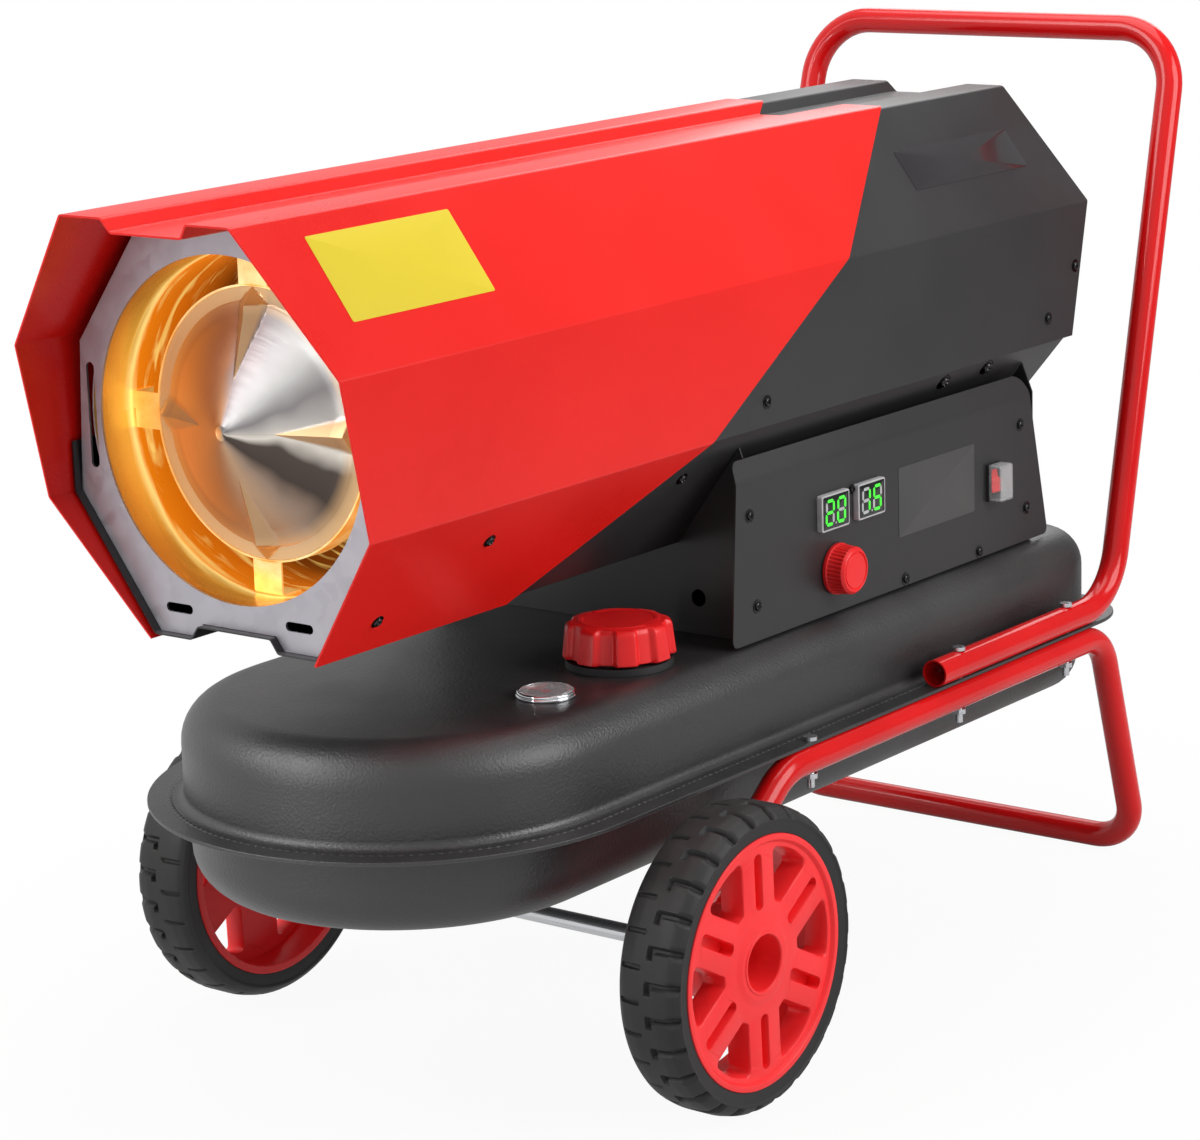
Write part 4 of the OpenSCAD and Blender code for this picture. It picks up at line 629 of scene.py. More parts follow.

# %% [markdown]
# The flame cone is spun, so its shine runs out from the middle in fans. A ramp over the angle paints
# those fans into the colour as painted reflections and painted shade, the ribs get a darker painted shade,
# the rim has the straw colour of hot steel, and the whole tint gives a faint painted glow.

# %% Flame cone's steel
# Painted reflections and shade round the axis: bright and dark fans, with gold-brown on the left.
CONE_PAINTED_REFLECTIONS = [
    (0.0, (0.62, 0.27, 0.10)),
    (0.15, (0.50, 0.25, 0.11)),
    (0.26, (0.44, 0.28, 0.17)),
    (0.33, (0.28, 0.20, 0.15)),
    (0.39, (0.060, 0.046, 0.040)),
    (0.455, (0.075, 0.058, 0.050)),
    (0.487, (0.60, 0.56, 0.50)),
    (0.52, (0.38, 0.36, 0.34)),
    (0.565, (0.17, 0.16, 0.16)),
    (0.62, (0.27, 0.265, 0.26)),
    (0.69, (0.20, 0.19, 0.19)),
    (0.745, (0.17, 0.14, 0.14)),
    (0.79, (0.40, 0.20, 0.10)),
    (0.87, (0.52, 0.23, 0.085)),
    (1.0, (0.62, 0.27, 0.10)),
]
CONE_RIM_TINT = [
    (0.0, (0.0, 0.0, 0.0)),
    (0.80, (0.0, 0.0, 0.0)),
    (0.92, (0.60, 0.60, 0.60)),
    (1.0, (0.8, 0.8, 0.8)),
]
RIB_START, RIB_PEAK, RIB_HALF = 36.0, 87.0, 14.0


def rib_share(tree, radius, angle):
    """1 along the four ridges and 0 beside them: the nearest quarter's angle against a widening wedge."""
    turn = add(tree, "Math", {0: angle, 1: np.pi / 4, 2: -np.pi / 4}, operation="WRAP").outputs[0]
    aside = compute(tree, "ABSOLUTE", compute(tree, "MULTIPLY", turn, radius))
    half = remap(tree, radius, RIB_START * MM, RIB_PEAK * MM, 0.0001, RIB_HALF * MM)
    return remap(tree, compute(tree, "DIVIDE", aside, half), 0.7, 1.0, 1.0, 0.0)


def cone_finish():
    """Spun steel: painted reflections round the axis, painted rib shade, a gold rim, faint painted glow."""
    made, tree, shader = new_finish("spun cone steel", Metallic=0.9, Emission_Strength=0.12)
    _, radius, angle = polar_place(tree)
    fine = add(tree, "CombineXYZ", {0: compute(tree, "MULTIPLY", radius, 700), 1: angle}).outputs[0]
    rings = noise(tree, fine, 1.0, 3.0)
    wander = remap(tree, noise(tree, own_place(tree), 22.0), 0.3, 0.7, -0.10, 0.10)
    round_share = remap(tree, compute(tree, "ADD", angle, wander), -np.pi, np.pi, 0.0, 1.0)
    outward = remap(tree, radius, 0.0, 0.1, 0.0, 1.0)
    painted_fans = ramp(tree, round_share, CONE_PAINTED_REFLECTIONS)
    rim = ramp(tree, outward, CONE_RIM_TINT)
    # Painted shade on the ribs: a darker, warmer tint along the ridges.
    painted_rib_shade = blend(tree, rib_share(tree, radius, angle), painted_fans, (0.42, 0.26, 0.14, 1))
    tint = blend(tree, rim, painted_rib_shade, (0.74, 0.46, 0.22, 1))
    rough = remap(tree, rings, 0.3, 0.7, 0.30, 0.40)
    # The tint also feeds a faint emission, a painted glow.
    feed(tree, shader, Base_Color=tint, Emission_Color=tint, Roughness=rough)
    raise_skin(tree, shader, rings, 0.002)
    return made


cone_steel = cone_finish()
print("cone tints", len(CONE_PAINTED_REFLECTIONS))

# %% [markdown]
# Three finishes are special: the ring round the cone, whose painted glow makes it the brightest strip of
# the outlet, the clear plastic of the lens and the switch's cover, and the green light of the displays.

# %% Glowing ring, clear plastic and display light


def ring_painted_glow_finish():
    """The brightest strip of the outlet: gold steel with an uneven yellow painted glow."""
    made, tree, shader = new_finish("glowing ring steel", Metallic=1.0, Emission_Strength=0.5)
    cloud = noise(tree, own_place(tree), 45.0, 3.0)
    share = remap(tree, cloud, 0.35, 0.65, 0.0, 1.0)
    base = blend(tree, share, (0.86, 0.64, 0.36, 1), (0.72, 0.46, 0.18, 1))
    painted_glow = blend(tree, share, (1.0, 0.62, 0.20, 1), (0.80, 0.34, 0.05, 1))
    rough = remap(tree, share, 0.0, 1.0, 0.2, 0.35)
    feed(tree, shader, Base_Color=base, Emission_Color=painted_glow, Roughness=rough)
    raise_skin(tree, shader, cloud, 0.05)
    return made


def clear_finish(name, tint, rough):
    """Clear moulding: light passes, with faint smears in its gloss."""
    made, tree, shader = new_finish(name, Transmission_Weight=0.86, IOR=1.3)
    smear = noise(tree, own_place(tree), 120.0, 3.0)
    clear = blend(tree, smear, (*tint, 1), (0.98, 0.98, 0.98, 1))
    feed(tree, shader, Base_Color=clear, Roughness=remap(tree, smear, 0.3, 0.7, *rough))
    return made


def lamp_green_finish():
    """Lit display bars: green light that is a little uneven along each bar."""
    made, tree, shader = new_finish("green display bars", Roughness=0.3, Emission_Strength=1.0)
    cloud = noise(tree, own_place(tree), 300.0)
    light = blend(tree, cloud, (0.02, 0.70, 0.01, 1), (0.08, 0.98, 0.04, 1))
    base = blend(tree, cloud, (0.02, 0.25, 0.02, 1), (0.04, 0.35, 0.03, 1))
    feed(tree, shader, Base_Color=base, Emission_Color=light)
    return made


ring_painted_glow = ring_painted_glow_finish()
clear_plastic = clear_finish("clear plastic", (0.93, 0.95, 0.96), (0.03, 0.10))
green_bars = lamp_green_finish()
print("finishes in all", len(bpy.data.materials))

# %% [markdown]
# ## Bent covers
# The body is an eight-sided tube of sheet, with a shallow channel along its top, in three pieces: the red
# front cover, the black rear cover that runs in under it, and a black casing below. A sheet could be
# modelled flat and folded with modifiers. Here the folded section is written as a path, and every point
# of it runs from the front line to the back line of the side view, so that the raked ends and the
# slanting seam come out by themselves.

# %% The eight-sided section
cover_low, cover_high = span("front_cover")
TIP, TOP, BOTTOM = cover_low[1], cover_high[2], cover_low[2]
HALF_WIDTH = cover_high[0]
FLAT_HALF, SIDE_HALF = 80.0, 58.0
CHANNEL_MOUTH, CHANNEL_FLOOR, CHANNEL_DEPTH = 40.0, 33.0, 10.0
FRONT_T, SHEET_T, SEAT_GAP = 1.5, 1.2, 0.3
BEND_R = 4.0

UPPER_HALF = [
    (HALF_WIDTH, AXIS_Z - SIDE_HALF),
    (HALF_WIDTH, AXIS_Z + SIDE_HALF),
    (FLAT_HALF, TOP),
    (CHANNEL_MOUTH, TOP),
    (CHANNEL_FLOOR, TOP - CHANNEL_DEPTH),
]
FRONT_SECTION = mirrored([(FLAT_HALF, BOTTOM)] + UPPER_HALF)
REAR_SECTION = inset(mirrored(UPPER_HALF), FRONT_T + SEAT_GAP)
CASING_FLANGE = 38.0
CASING_SECTION = inset(
    mirrored(
        [
            (CHANNEL_FLOOR, BOTTOM + CHANNEL_DEPTH),
            (CHANNEL_MOUTH, BOTTOM),
            (FLAT_HALF, BOTTOM),
            (HALF_WIDTH, AXIS_Z - SIDE_HALF),
            (HALF_WIDTH, AXIS_Z - SIDE_HALF + CASING_FLANGE),
        ][::-1]
    )[::-1],
    FRONT_T + SHEET_T + 2 * SEAT_GAP,
)
FRONT_RAKE, REAR_RAKE, SPLIT_LEAN = np.tan(np.radians([11.5, 13.0, 58.5]))
SPLIT_RUN, BODY_RUN, COVER_LAP = 278.0, 1012.0, 25.0
CUT_H, CUT_RUN = 62.0, 30.0
print("the section is", np.round(np.ptp(FRONT_SECTION, axis=0), 1), "mm wide and high")


def hood_line(z):
    """Front edge in the side view: it leans forward towards the top."""
    return TIP + (TOP - z) * FRONT_RAKE


def split_line(z):
    """Seam between the covers: it leans back steeply towards the top."""
    return TIP + SPLIT_RUN + (z - BOTTOM) * SPLIT_LEAN


def rear_line(z):
    """Rear edge: it leans back with height, then runs forward over the cut corner at the top."""
    edge = TIP + BODY_RUN + (np.minimum(z, TOP - CUT_H) - AXIS_Z - SIDE_HALF) * REAR_RAKE
    return edge - np.clip((z - TOP + CUT_H) / CUT_H, 0, 1) * CUT_RUN


def bent_sheet(section, thickness, front, back, rows=14):
    """A folded section carried along Y. At section point (x, z) the sheet runs from front(z) to back(z)."""
    way = turns(section)
    share = np.linspace(0, 1, rows)[:, None]

    def carried(corners, radii):
        path = rounded(corners, radii)
        x, z = path.T
        y = front(z) * (1 - share) + back(z) * share
        return np.stack([np.broadcast_to(x, y.shape), y, np.broadcast_to(z, y.shape)], -1)

    outer = carried(section, BEND_R - np.where(way < 0, thickness, 0))
    inner = carried(inset(section, thickness), BEND_R - np.where(way > 0, thickness, 0))
    return slab(outer, inner)


# %% [markdown]
# The front cover ends on the slanting seam. The rear cover begins a little before it, underneath, and the
# casing is upright in front and stops short of the rear cover's edge.

# %% Front cover, rear cover and casing
front_patches = bent_sheet(FRONT_SECTION, FRONT_T, hood_line, split_line, 24)
make_piece("front_sheet", front_patches, red_powder, stands_for=["front_cover"])


def rear_start(z):
    """The rear cover begins under the front cover."""
    return split_line(z) - COVER_LAP


rear_patches = bent_sheet(REAR_SECTION, SHEET_T, rear_start, rear_line, 24)
make_piece("rear_sheet", rear_patches, black_powder, stands_for=["rear_cover"])

CASING_FRONT, CASING_REAR_SET = span("lower_casing")[0][1], 10.0


def casing_start(z):
    """The casing's front edge is upright."""
    return np.full_like(z, CASING_FRONT)


def casing_end(z):
    """The casing stops inside the rear cover's edge."""
    return rear_line(z) - CASING_REAR_SET


casing_patches = bent_sheet(CASING_SECTION, SHEET_T, casing_start, casing_end, 8)
make_piece("casing_sheet", casing_patches, black_powder, stands_for=["lower_casing"])

# %% [markdown]
# ## Pressed tank
# The tank is two deep-drawn halves joined at a flange. Each half has one wall section: a flat deck, a
# wide shoulder, an upright wall, a small foot radius and the flange. The plan is round in front, straight
# along the sides and square with rounded corners behind. Carrying the section round the plan draws the
# whole half at once.

# %% Tank halves
tank_low, tank_high = span("tank_upper")
TANK_T = 1.5
TANK_R, PAN_R, FLANGE_R = 172.0, 168.0, tank_high[0]
TANK_MID = tank_low[1] + FLANGE_R
CORNER_SHIFT = 124.0
CORNER_Y = tank_high[1] - (FLANGE_R - CORNER_SHIFT)
SEAM_Z = tank_low[2]
DECK_Z, PAN_Z = tank_high[2], span("tank_lower")[0][2]
SHOULDER_R, PAN_EDGE_R, FOOT_R, RIM_EASE = 32.0, 34.0, 7.0, 0.5
DECK_MARGIN, SPINE_SHORT = 2.0, 80.0
CORNER_STEPS, FRONT_STEPS = 13, 61


def tank_plan():
    """Stations round the plan: a base point and an outward direction each."""
    counts = [CORNER_STEPS, FRONT_STEPS, CORNER_STEPS]
    sweeps = [(90, 0), (0, -180), (180, 90)]
    swing = np.radians(np.concatenate([np.linspace(*ends, count) for ends, count in zip(sweeps, counts)]))
    middles = [(CORNER_SHIFT, CORNER_Y), (0, TANK_MID), (-CORNER_SHIFT, CORNER_Y)]
    return np.repeat(middles, counts, axis=0), np.stack([np.cos(swing), np.sin(swing)], -1)


def tank_half(wall_r, edge_r, top, foot):
    """One half: a wall section over the shoulder, down, out along the flange and back inside.

    A section point (s, z) lies at base + out * (s - shift), where shift is the base's distance to one side.
    The first and the last row are drawn in to the tank's middle line, and that closes the deck.
    """
    lift = foot + TANK_T
    start, wall_in = wall_r - edge_r - DECK_MARGIN, wall_r - TANK_T
    outside = [(start, top), (wall_r, top), (wall_r, lift), (FLANGE_R, lift)]
    inside = [(wall_in, foot), (wall_in, top - TANK_T), (start, top - TANK_T)]
    rim = np.array([(FLANGE_R - RIM_EASE, lift), (FLANGE_R, lift - RIM_EASE), (FLANGE_R, foot)])
    outside = rounded(outside, [0, edge_r, FOOT_R, 0], steps=10)[:-1]
    inside = rounded(inside, [0, edge_r - TANK_T, 0], steps=10)
    section = np.concatenate([outside, rim, inside])
    base, out = tank_plan()
    reach = section[:, None, 0] - np.abs(base[:, 0])
    plan = base + reach[..., None] * out
    rows = np.concatenate([plan, np.broadcast_to(section[:, None, 1:], plan.shape[:2] + (1,))], -1)
    spine = np.zeros_like(rows[0])
    spine[:, 1] = np.clip(base[:, 1], TANK_MID, CORNER_Y - SPINE_SHORT)
    ends = [spine + [0, 0, z] for z in (top, top - TANK_T)]
    return np.concatenate([ends[:1], rows, ends[1:]])


upper = tank_half(TANK_R, SHOULDER_R, DECK_Z, SEAM_Z)
lower = tank_half(PAN_R, PAN_EDGE_R, 2 * SEAM_Z - PAN_Z, SEAM_Z) * [1, 1, -1] + [0, 0, 2 * SEAM_Z]
for name, half, node in [("tank_top", upper, "tank_upper"), ("tank_pan", lower, "tank_lower")]:
    make_piece(name, [patch(half, wrap_columns=True)], tank_coat, stands_for=[node])

# %% [markdown]
# The halves are joined by rollers that weld a row of overlapping spots, and that track shows all round
# the flange. A low bead follows the same plan as the tank. Its height swings once per spot along the way.

# %% Weld track on the flange
TRACK_OUT, TRACK_HALF, TRACK_H, SPOT_PITCH, SPOT_STEPS = 11.0, 2.0, 1.0, 7.0, 5


def weld_track():
    """A closed bead along the plan: five points across, and a height that is a cosine of the way along."""
    base, out = tank_plan()
    loop = base + (TANK_R + TRACK_OUT - np.abs(base[:, :1])) * out
    loop = np.vstack([loop, loop[:1]])
    way = np.concatenate([[0], np.cumsum(np.linalg.norm(np.diff(loop, axis=0), axis=1))])
    spots = int(way[-1] / SPOT_PITCH)
    at = np.linspace(0, way[-1], spots * SPOT_STEPS, endpoint=False)
    line = np.stack([np.interp(at, way, loop[:, k]) for k in (0, 1)], -1)
    ahead = unit(np.roll(line, -1, 0) - np.roll(line, 1, 0))
    aside = np.stack([ahead[:, 1], -ahead[:, 0]], -1)
    across = np.array([-1.0, -0.6, 0.0, 0.6, 1.0])[:, None]
    swell = 0.55 + 0.45 * np.cos(2 * np.pi * spots * at / way[-1])
    height = SEAM_Z + TANK_T + 0.02 + TRACK_H * swell * (1 - across**2)
    flat = line + (across * TRACK_HALF * (0.7 + 0.3 * swell))[..., None] * aside
    return patch(np.concatenate([flat, height[..., None]], -1), True, True)


make_piece("weld_track", [weld_track()], tank_coat)

# %% [markdown]
# ## Bent tubes
# The frame and the handle are each one length of tube, bent on formers of a fixed radius. The path has an
# arc at every bend, and a ring of points is carried along it. The ring's two directions come from the
# path's direction and one fixed vector that no run is parallel to, so neighbouring rings never twist.

# %% Frame and handle
TUBE_R, TUBE_T = 11.5, 1.5
TUBE_REFERENCE = np.array([0.55, -0.75, -0.35])
frame_high = span("frame_tube")[1]
handle_low, handle_high = span("handle_tube")
axle_low, axle_high = span("wheel_axle")
AXLE_Y, AXLE_Z = (axle_low[1:] + axle_high[1:]) / 2
TUBE_X = frame_high[0] - TUBE_R
FRAME_Z = frame_high[2] - TUBE_R


def swept_tube(corners, bends, sides=40):
    """A hollow tube: rings of the outer radius along the bent path, then inner rings back again."""
    path = rounded(corners, bends, steps=14)
    steps = unit(np.diff(path, axis=0))
    along = unit(np.vstack([steps[:1], steps[:-1] + steps[1:], steps[-1:]]))
    first = unit(np.cross(along, TUBE_REFERENCE))
    second = np.cross(along, first)
    around = np.linspace(0, 2 * np.pi, sides, endpoint=False)
    ring = first[:, None] * np.cos(around)[:, None] + second[:, None] * np.sin(around)[:, None]
    skins = [path[:, None] + ring * (TUBE_R - depth) for depth in (0, TUBE_T)]
    return [patch(np.concatenate([skins[0], skins[1][::-1]]), wrap_rows=True, wrap_columns=True)]


def both_sides(half):
    """A space path made whole: the right half, then its mirror image run backwards."""
    half = np.asarray(half, float)
    return np.vstack([half, half[::-1] * [-1, 1, 1]])


AXLE_GRIP, FRAME_RUN = 20.0, 135.0
FRAME_BENDS, HANDLE_BENDS = [0, 60, 42, 42, 42, 42, 60, 0], [0, 60, 55, 55, 60, 0]
axle_point = np.array([TUBE_X, AXLE_Y, AXLE_Z])
front_corner = np.array([TUBE_X, AXLE_Y + FRAME_RUN, FRAME_Z])
FOOT_IN, LEG_RUN = 5.0, 73.0
foot_y = frame_high[1] - TUBE_R
frame_half = [
    axle_point + unit(axle_point - front_corner) * AXLE_GRIP,
    front_corner,
    (TUBE_X, foot_y - LEG_RUN, FRAME_Z),
    (TUBE_X - FOOT_IN, foot_y, TUBE_R),
]
frame_patches = swept_tube(both_sides(frame_half), FRAME_BENDS)
make_piece("frame_bow", frame_patches, red_tube, stands_for=["frame_tube"])
handle_z = handle_low[2] + TUBE_R
HANDLE_IN, UPRIGHT_RUN = 7.5, 128.5
handle_y = handle_high[1] - TUBE_R
handle_half = [
    (TUBE_X, handle_low[1], handle_z),
    (TUBE_X, handle_y - UPRIGHT_RUN, handle_z),
    (TUBE_X - HANDLE_IN, handle_y, handle_high[2] - TUBE_R),
]
handle_patches = swept_tube(both_sides(handle_half), HANDLE_BENDS)
make_piece("handle_bow", handle_patches, red_tube, stands_for=["handle_tube"])

# %% [markdown]
# ## Wheels
# A tyre is a profile turned about the axle, with a tread pressed into it. The tread depends on two things
# only, the angle and the place across the width, so it is one function: long slots that hook at their
# inner end, and a second row of short cuts about half a pitch on.

# %% Tyres
tyre_low, tyre_high = span("tyre_right")
WHEEL_R = (tyre_high[2] - tyre_low[2]) / 2
TYRE_W = tyre_high[0] - tyre_low[0]
TYRE_FACE = tyre_high[0]
HUB_R = 98.0
TREADS, TREAD_STEPS, PROFILE_STEPS = 28, 24, 76
SLOT_DEEP, CUT_DEEP, FLARE_DEEP = 4.0, 2.6, 1.6
CUT_SHIFT = 0.45
SLOT_SPANS, HOOK_SPANS = ((-1.7, 1.7, 0.9), (3, 25, 2)), ((-1.7, 7.0, 0.9), (22.5, 26, 0.8))
CUT_SPANS, FLARE_SPANS = ((-1.2, 1.2, 0.8), (33, 49, 1.5)), ((-3.2, 3.2, 2.5), (0, 7, 3))


def step_between(value, low, high):
    """0 below low, 1 above high, and a smooth rise in between."""
    t = np.clip((value - low) / (high - low), 0, 1)
    return t * t * (3 - 2 * t)


def band(value, low, high, soft):
    """1 between low and high, falling to 0 over a soft edge on either side."""
    return step_between(value, low - soft, low) * (1 - step_between(value, high, high + soft))


def tread_depth(angle, across):
    """Depth of the tread in millimetres at an angle and a distance in from the outer face.

    A mark has two spans of (low, high, soft), one round the tyre and one across it, and is their product.
    """
    pitch = 2 * np.pi / TREADS

    def mark(spans, shift=0.0):
        place = ((angle / pitch + shift) % 1 - 0.5) * pitch * WHEEL_R
        return band(place, *spans[0]) * band(across, *spans[1])

    long_slot = np.maximum(mark(SLOT_SPANS), mark(HOOK_SPANS))
    return SLOT_DEEP * long_slot + CUT_DEEP * mark(CUT_SPANS, CUT_SHIFT) + FLARE_DEEP * mark(FLARE_SPANS)


def tyre_grid():
    """Rings of the profile (across, r) at every angle, less the tread's depth on the tyre's outer part."""
    wall = [(3.0, HUB_R), (2.4, HUB_R + 3), (1.6, WHEEL_R - 11), (0.0, WHEEL_R - 9.5), (3.5, WHEEL_R - 5)]
    crown = [(8.0, WHEEL_R - 1.8), (17.0, WHEEL_R), (TYRE_W / 2, WHEEL_R)]
    half = rounded(wall + crown, [0, 0.8, 0.8, 1.5, 6, 10, 20, 0], steps=4)
    profile = np.vstack([half, (half[::-1] * [-1, 1] + [TYRE_W, 0])[1:]])
    across, radius = np.vstack([profile, [(TYRE_W / 2, HUB_R)]]).T
    gaps = np.concatenate([[0], np.cumsum(np.hypot(np.diff(across), np.diff(radius)))])
    outer = np.linspace(0, gaps[-2], PROFILE_STEPS)
    across = np.append(np.interp(outer, gaps, across), across[-1])[:, None]
    radius = np.append(np.interp(outer, gaps, radius), radius[-1])[:, None]
    angle = np.linspace(0, 2 * np.pi, TREADS * TREAD_STEPS, endpoint=False)
    grip = step_between(radius, WHEEL_R - 10, WHEEL_R - 7)
    turned = radius - tread_depth(angle, across) * grip
    return np.stack([across + 0 * angle, turned * np.cos(angle), turned * np.sin(angle)], -1)


def on_wheel(grid, side):
    """A wheel's grid, (distance in from the outer face, y, z about the axle), set in place on one side."""
    into, y, z = np.moveaxis(grid, -1, 0)
    return np.stack([side * (TYRE_FACE - into), y + AXLE_Y, z + AXLE_Z], -1)


tyre = tyre_grid()
SIDES = [("right", 1), ("left", -1)]
for name, side in SIDES:
    make_piece(
        name + "_tread", [patch(on_wheel(tyre, side), True, True)], tyre_rubber, body=name + "_wheel",
        stands_for=["tyre_" + name], crease=50,
    )

# %% [markdown]
# A moulded hub repeats six times, so one sector is drawn and turned. Its outer border follows the middle
# of two spokes, stepping aside round half of the slot in each; its inner border is the window. Skins
# between the two borders make the face, the window's deep walls and the back.

# %% One sector of the hub
hub_low, hub_high = span("hub_right")
HUB_RIM_IN, HUB_DEEP_IN = TYRE_FACE - hub_high[0], TYRE_FACE - hub_low[0]
FACE_SUNK, FACE_T = 3.0, 20.0
HUB_FACE_IN = HUB_RIM_IN + FACE_SUNK
HUB_BACK_IN = HUB_FACE_IN + FACE_T
SPOKES, SPOKE_TURN = 6, np.radians(32.0)
BOSS_R, RIM_R, WELL_R, AXLE_HOLE_R, WELL_FLOOR = 37.0, 91.0, 21.5, 7.08, 14.0
SLOT_IN, SLOT_OUT, SLOT_HALF, SLOT_DEPTH = 41.0, 85.0, 4.5, 12.0
WINDOW_NEAR, WINDOW_FAR, WINDOW_OUT = (47.0, 4.0), (83.5, 25.0), 88.5
WINDOW_ROUNDS, WINDOW_STEPS, WINDOW_DRAFT = [3.2, 4.5, 60, 4.5, 3.2], 8, 0.6
ARC_STEPS, INNER_STEPS = 17, 9
EDGE_EASE = 0.8


def resample(path, count):
    """A path's points spread evenly along its length."""
    run = np.concatenate([[0], np.cumsum(np.linalg.norm(np.diff(path, axis=0), axis=1))])
    even = np.linspace(0, run[-1], count)
    return np.stack([np.interp(even, run, path[:, k]) for k in range(path.shape[1])], -1)


def spoke_border():
    """Along a spoke's middle, out from the boss: (r, aside, depth), stepping round half of the slot."""
    swing = np.linspace(0, np.pi / 2, 7)
    near = np.stack([SLOT_IN + SLOT_HALF * (1 - np.cos(swing)), SLOT_HALF * np.sin(swing)], -1)
    far = near[::-1] * [-1, 1] + [SLOT_IN + SLOT_OUT, 0]
    round_slot = np.vstack([near, far])
    plain = [(BOSS_R, 0, 0), (SLOT_IN, 0, 0)], [(SLOT_OUT, 0, 0), (RIM_R, 0, 0)]
    deep = np.column_stack([round_slot, np.full(len(round_slot), SLOT_DEPTH)])
    return np.vstack([plain[0], deep, plain[1]])


def polar(radius, angle):
    """Flat points from radius and angle."""
    return np.stack([radius * np.cos(angle), radius * np.sin(angle)], -1)


def hub_sector():
    """One sixth of the hub about its window: rows of (in, a, b) from the slot's floor to the back."""
    border = spoke_border()
    half = np.pi / SPOKES
    turn = np.array([[np.cos(half), np.sin(half)], [-np.sin(half), np.cos(half)]])
    right = border[:, :2] @ turn.T
    middle = (border[:, :2] * [1, 0]) @ turn.T
    outer_arc = polar(RIM_R, np.linspace(-half, half, ARC_STEPS))[1:-1]
    inner_arc = polar(BOSS_R, np.linspace(half, -half, INNER_STEPS))[1:-1]
    flip = np.array([1, -1])
    edge = np.vstack([right, outer_arc, right[::-1] * flip, inner_arc])
    core = np.vstack([middle, outer_arc, middle[::-1] * flip, inner_arc])
    arcs = np.zeros(len(outer_arc)), np.zeros(len(inner_arc))
    depth = np.concatenate([border[:, 2], arcs[0], border[::-1, 2], arcs[1]])

    def window(grow):
        """The window's loop, cut in the middle of four corners so that its sides pair with the border's."""
        near = (WINDOW_NEAR[0] - grow, WINDOW_NEAR[1] + WINDOW_DRAFT * grow)
        far, wide = (WINDOW_FAR[0] + grow, WINDOW_FAR[1] + grow), (WINDOW_OUT + grow, 0)
        corners = [near * flip, far * flip, wide, far, near]
        loop = rounded(corners, WINDOW_ROUNDS, steps=WINDOW_STEPS, closed=True)
        cut = [k * (WINDOW_STEPS + 1) + WINDOW_STEPS // 2 for k in range(len(corners))]
        right_side = loop[cut[0] : cut[1] + 1]
        outer_side = loop[cut[1] : cut[3] + 1]
        left_side = loop[cut[3] : cut[4] + 1]
        inner_side = np.vstack([loop[cut[4] :], loop[: cut[0] + 1]])
        sides = [
            resample(right_side, len(right)),
            resample(outer_side, len(outer_arc) + 2)[1:-1],
            resample(left_side, len(right)),
            resample(inner_side, len(inner_arc) + 2)[1:-1],
        ]
        return np.vstack(sides)

    def row(points, into):
        return np.column_stack([np.broadcast_to(into, len(points)), points])

    face, back = HUB_FACE_IN, HUB_BACK_IN
    eased = edge + unit(window(0) - edge) * np.where(depth > 0, EDGE_EASE, 0)[:, None]
    return np.stack(
        [
            row(core, face + depth),
            row(edge, face + depth),
            row(edge, face + np.minimum(depth, EDGE_EASE)),
            row(eased, face),
            row(window(1.6), face),
            row(window(0.5), face + 0.5),
            row(window(0), face + 1.6),
            row(window(-1.2), back - 0.5),
            row(window(-0.9), back),
            row(edge, back),
            row(core, back),
        ]
    )


print("hub face", round(FACE_SUNK, 1), "mm in, sector", hub_sector().shape[:2], "points")

# %% [markdown]
# The six sectors are turned about the axle and joined by two turned rings: the boss with its well and its
# axle hole, and the rim that carries the tyre. Their points meet those of the sectors, so the welding
# closes the hub.

# %% Hubs


def turned_ring(profile, count):
    """A profile of (in, r) turned about the axle, starting on a spoke's middle line."""
    angle = SPOKE_TURN + np.linspace(0, 2 * np.pi, count, endpoint=False)
    into, radius = np.asarray(profile, float).T[..., None]
    return np.stack([into + 0 * angle, radius * np.cos(angle), radius * np.sin(angle)], -1)


def hub_patches(side):
    """Six turned sectors, the boss with its well, and the rim."""
    sector = hub_sector()
    patches = []
    for k in range(SPOKES):
        turn = SPOKE_TURN + (k + 0.5) * 2 * np.pi / SPOKES
        into, a, b = np.moveaxis(sector, -1, 0)
        y, z = a * np.cos(turn) - b * np.sin(turn), a * np.sin(turn) + b * np.cos(turn)
        patches.append(patch(on_wheel(np.stack([into, y, z], -1), side), wrap_columns=True))
    floor_in = HUB_DEEP_IN - WELL_FLOOR
    face, back, rim_in, deep = HUB_FACE_IN, HUB_BACK_IN, HUB_RIM_IN, HUB_DEEP_IN
    boss = rounded(
        [
            (face, BOSS_R), (face - 0.4, BOSS_R - 4), (rim_in + 1.2, BOSS_R - 9),
            (rim_in + 1.2, WELL_R + 3), (rim_in + 0.4, WELL_R + 2.6), (rim_in + 0.4, WELL_R + 0.8),
            (rim_in + 1.4, WELL_R), (floor_in, WELL_R), (floor_in, AXLE_HOLE_R), (deep, AXLE_HOLE_R),
            (deep, BOSS_R - 1), (deep - 1, BOSS_R), (back, BOSS_R),
        ],
        [0, 1.5, 1.5, 0.4, 0.4, 0.4, 0.4, 2, 0.2, 0.2, 0.4, 0.4, 0],
        steps=3,
    )
    seat = HUB_R - 0.3
    rim = rounded(
        [(face, RIM_R), (rim_in, RIM_R + 2), (rim_in, seat), (deep, seat), (deep, RIM_R), (back, RIM_R)],
        [0, 1.0, 0.8, 0.8, 0.8, 0],
        steps=3,
    )
    for line, count in [(boss, SPOKES * (INNER_STEPS - 1)), (rim, SPOKES * (ARC_STEPS - 1))]:
        patches.append(patch(on_wheel(turned_ring(line, count), side), wrap_columns=True))
    return patches


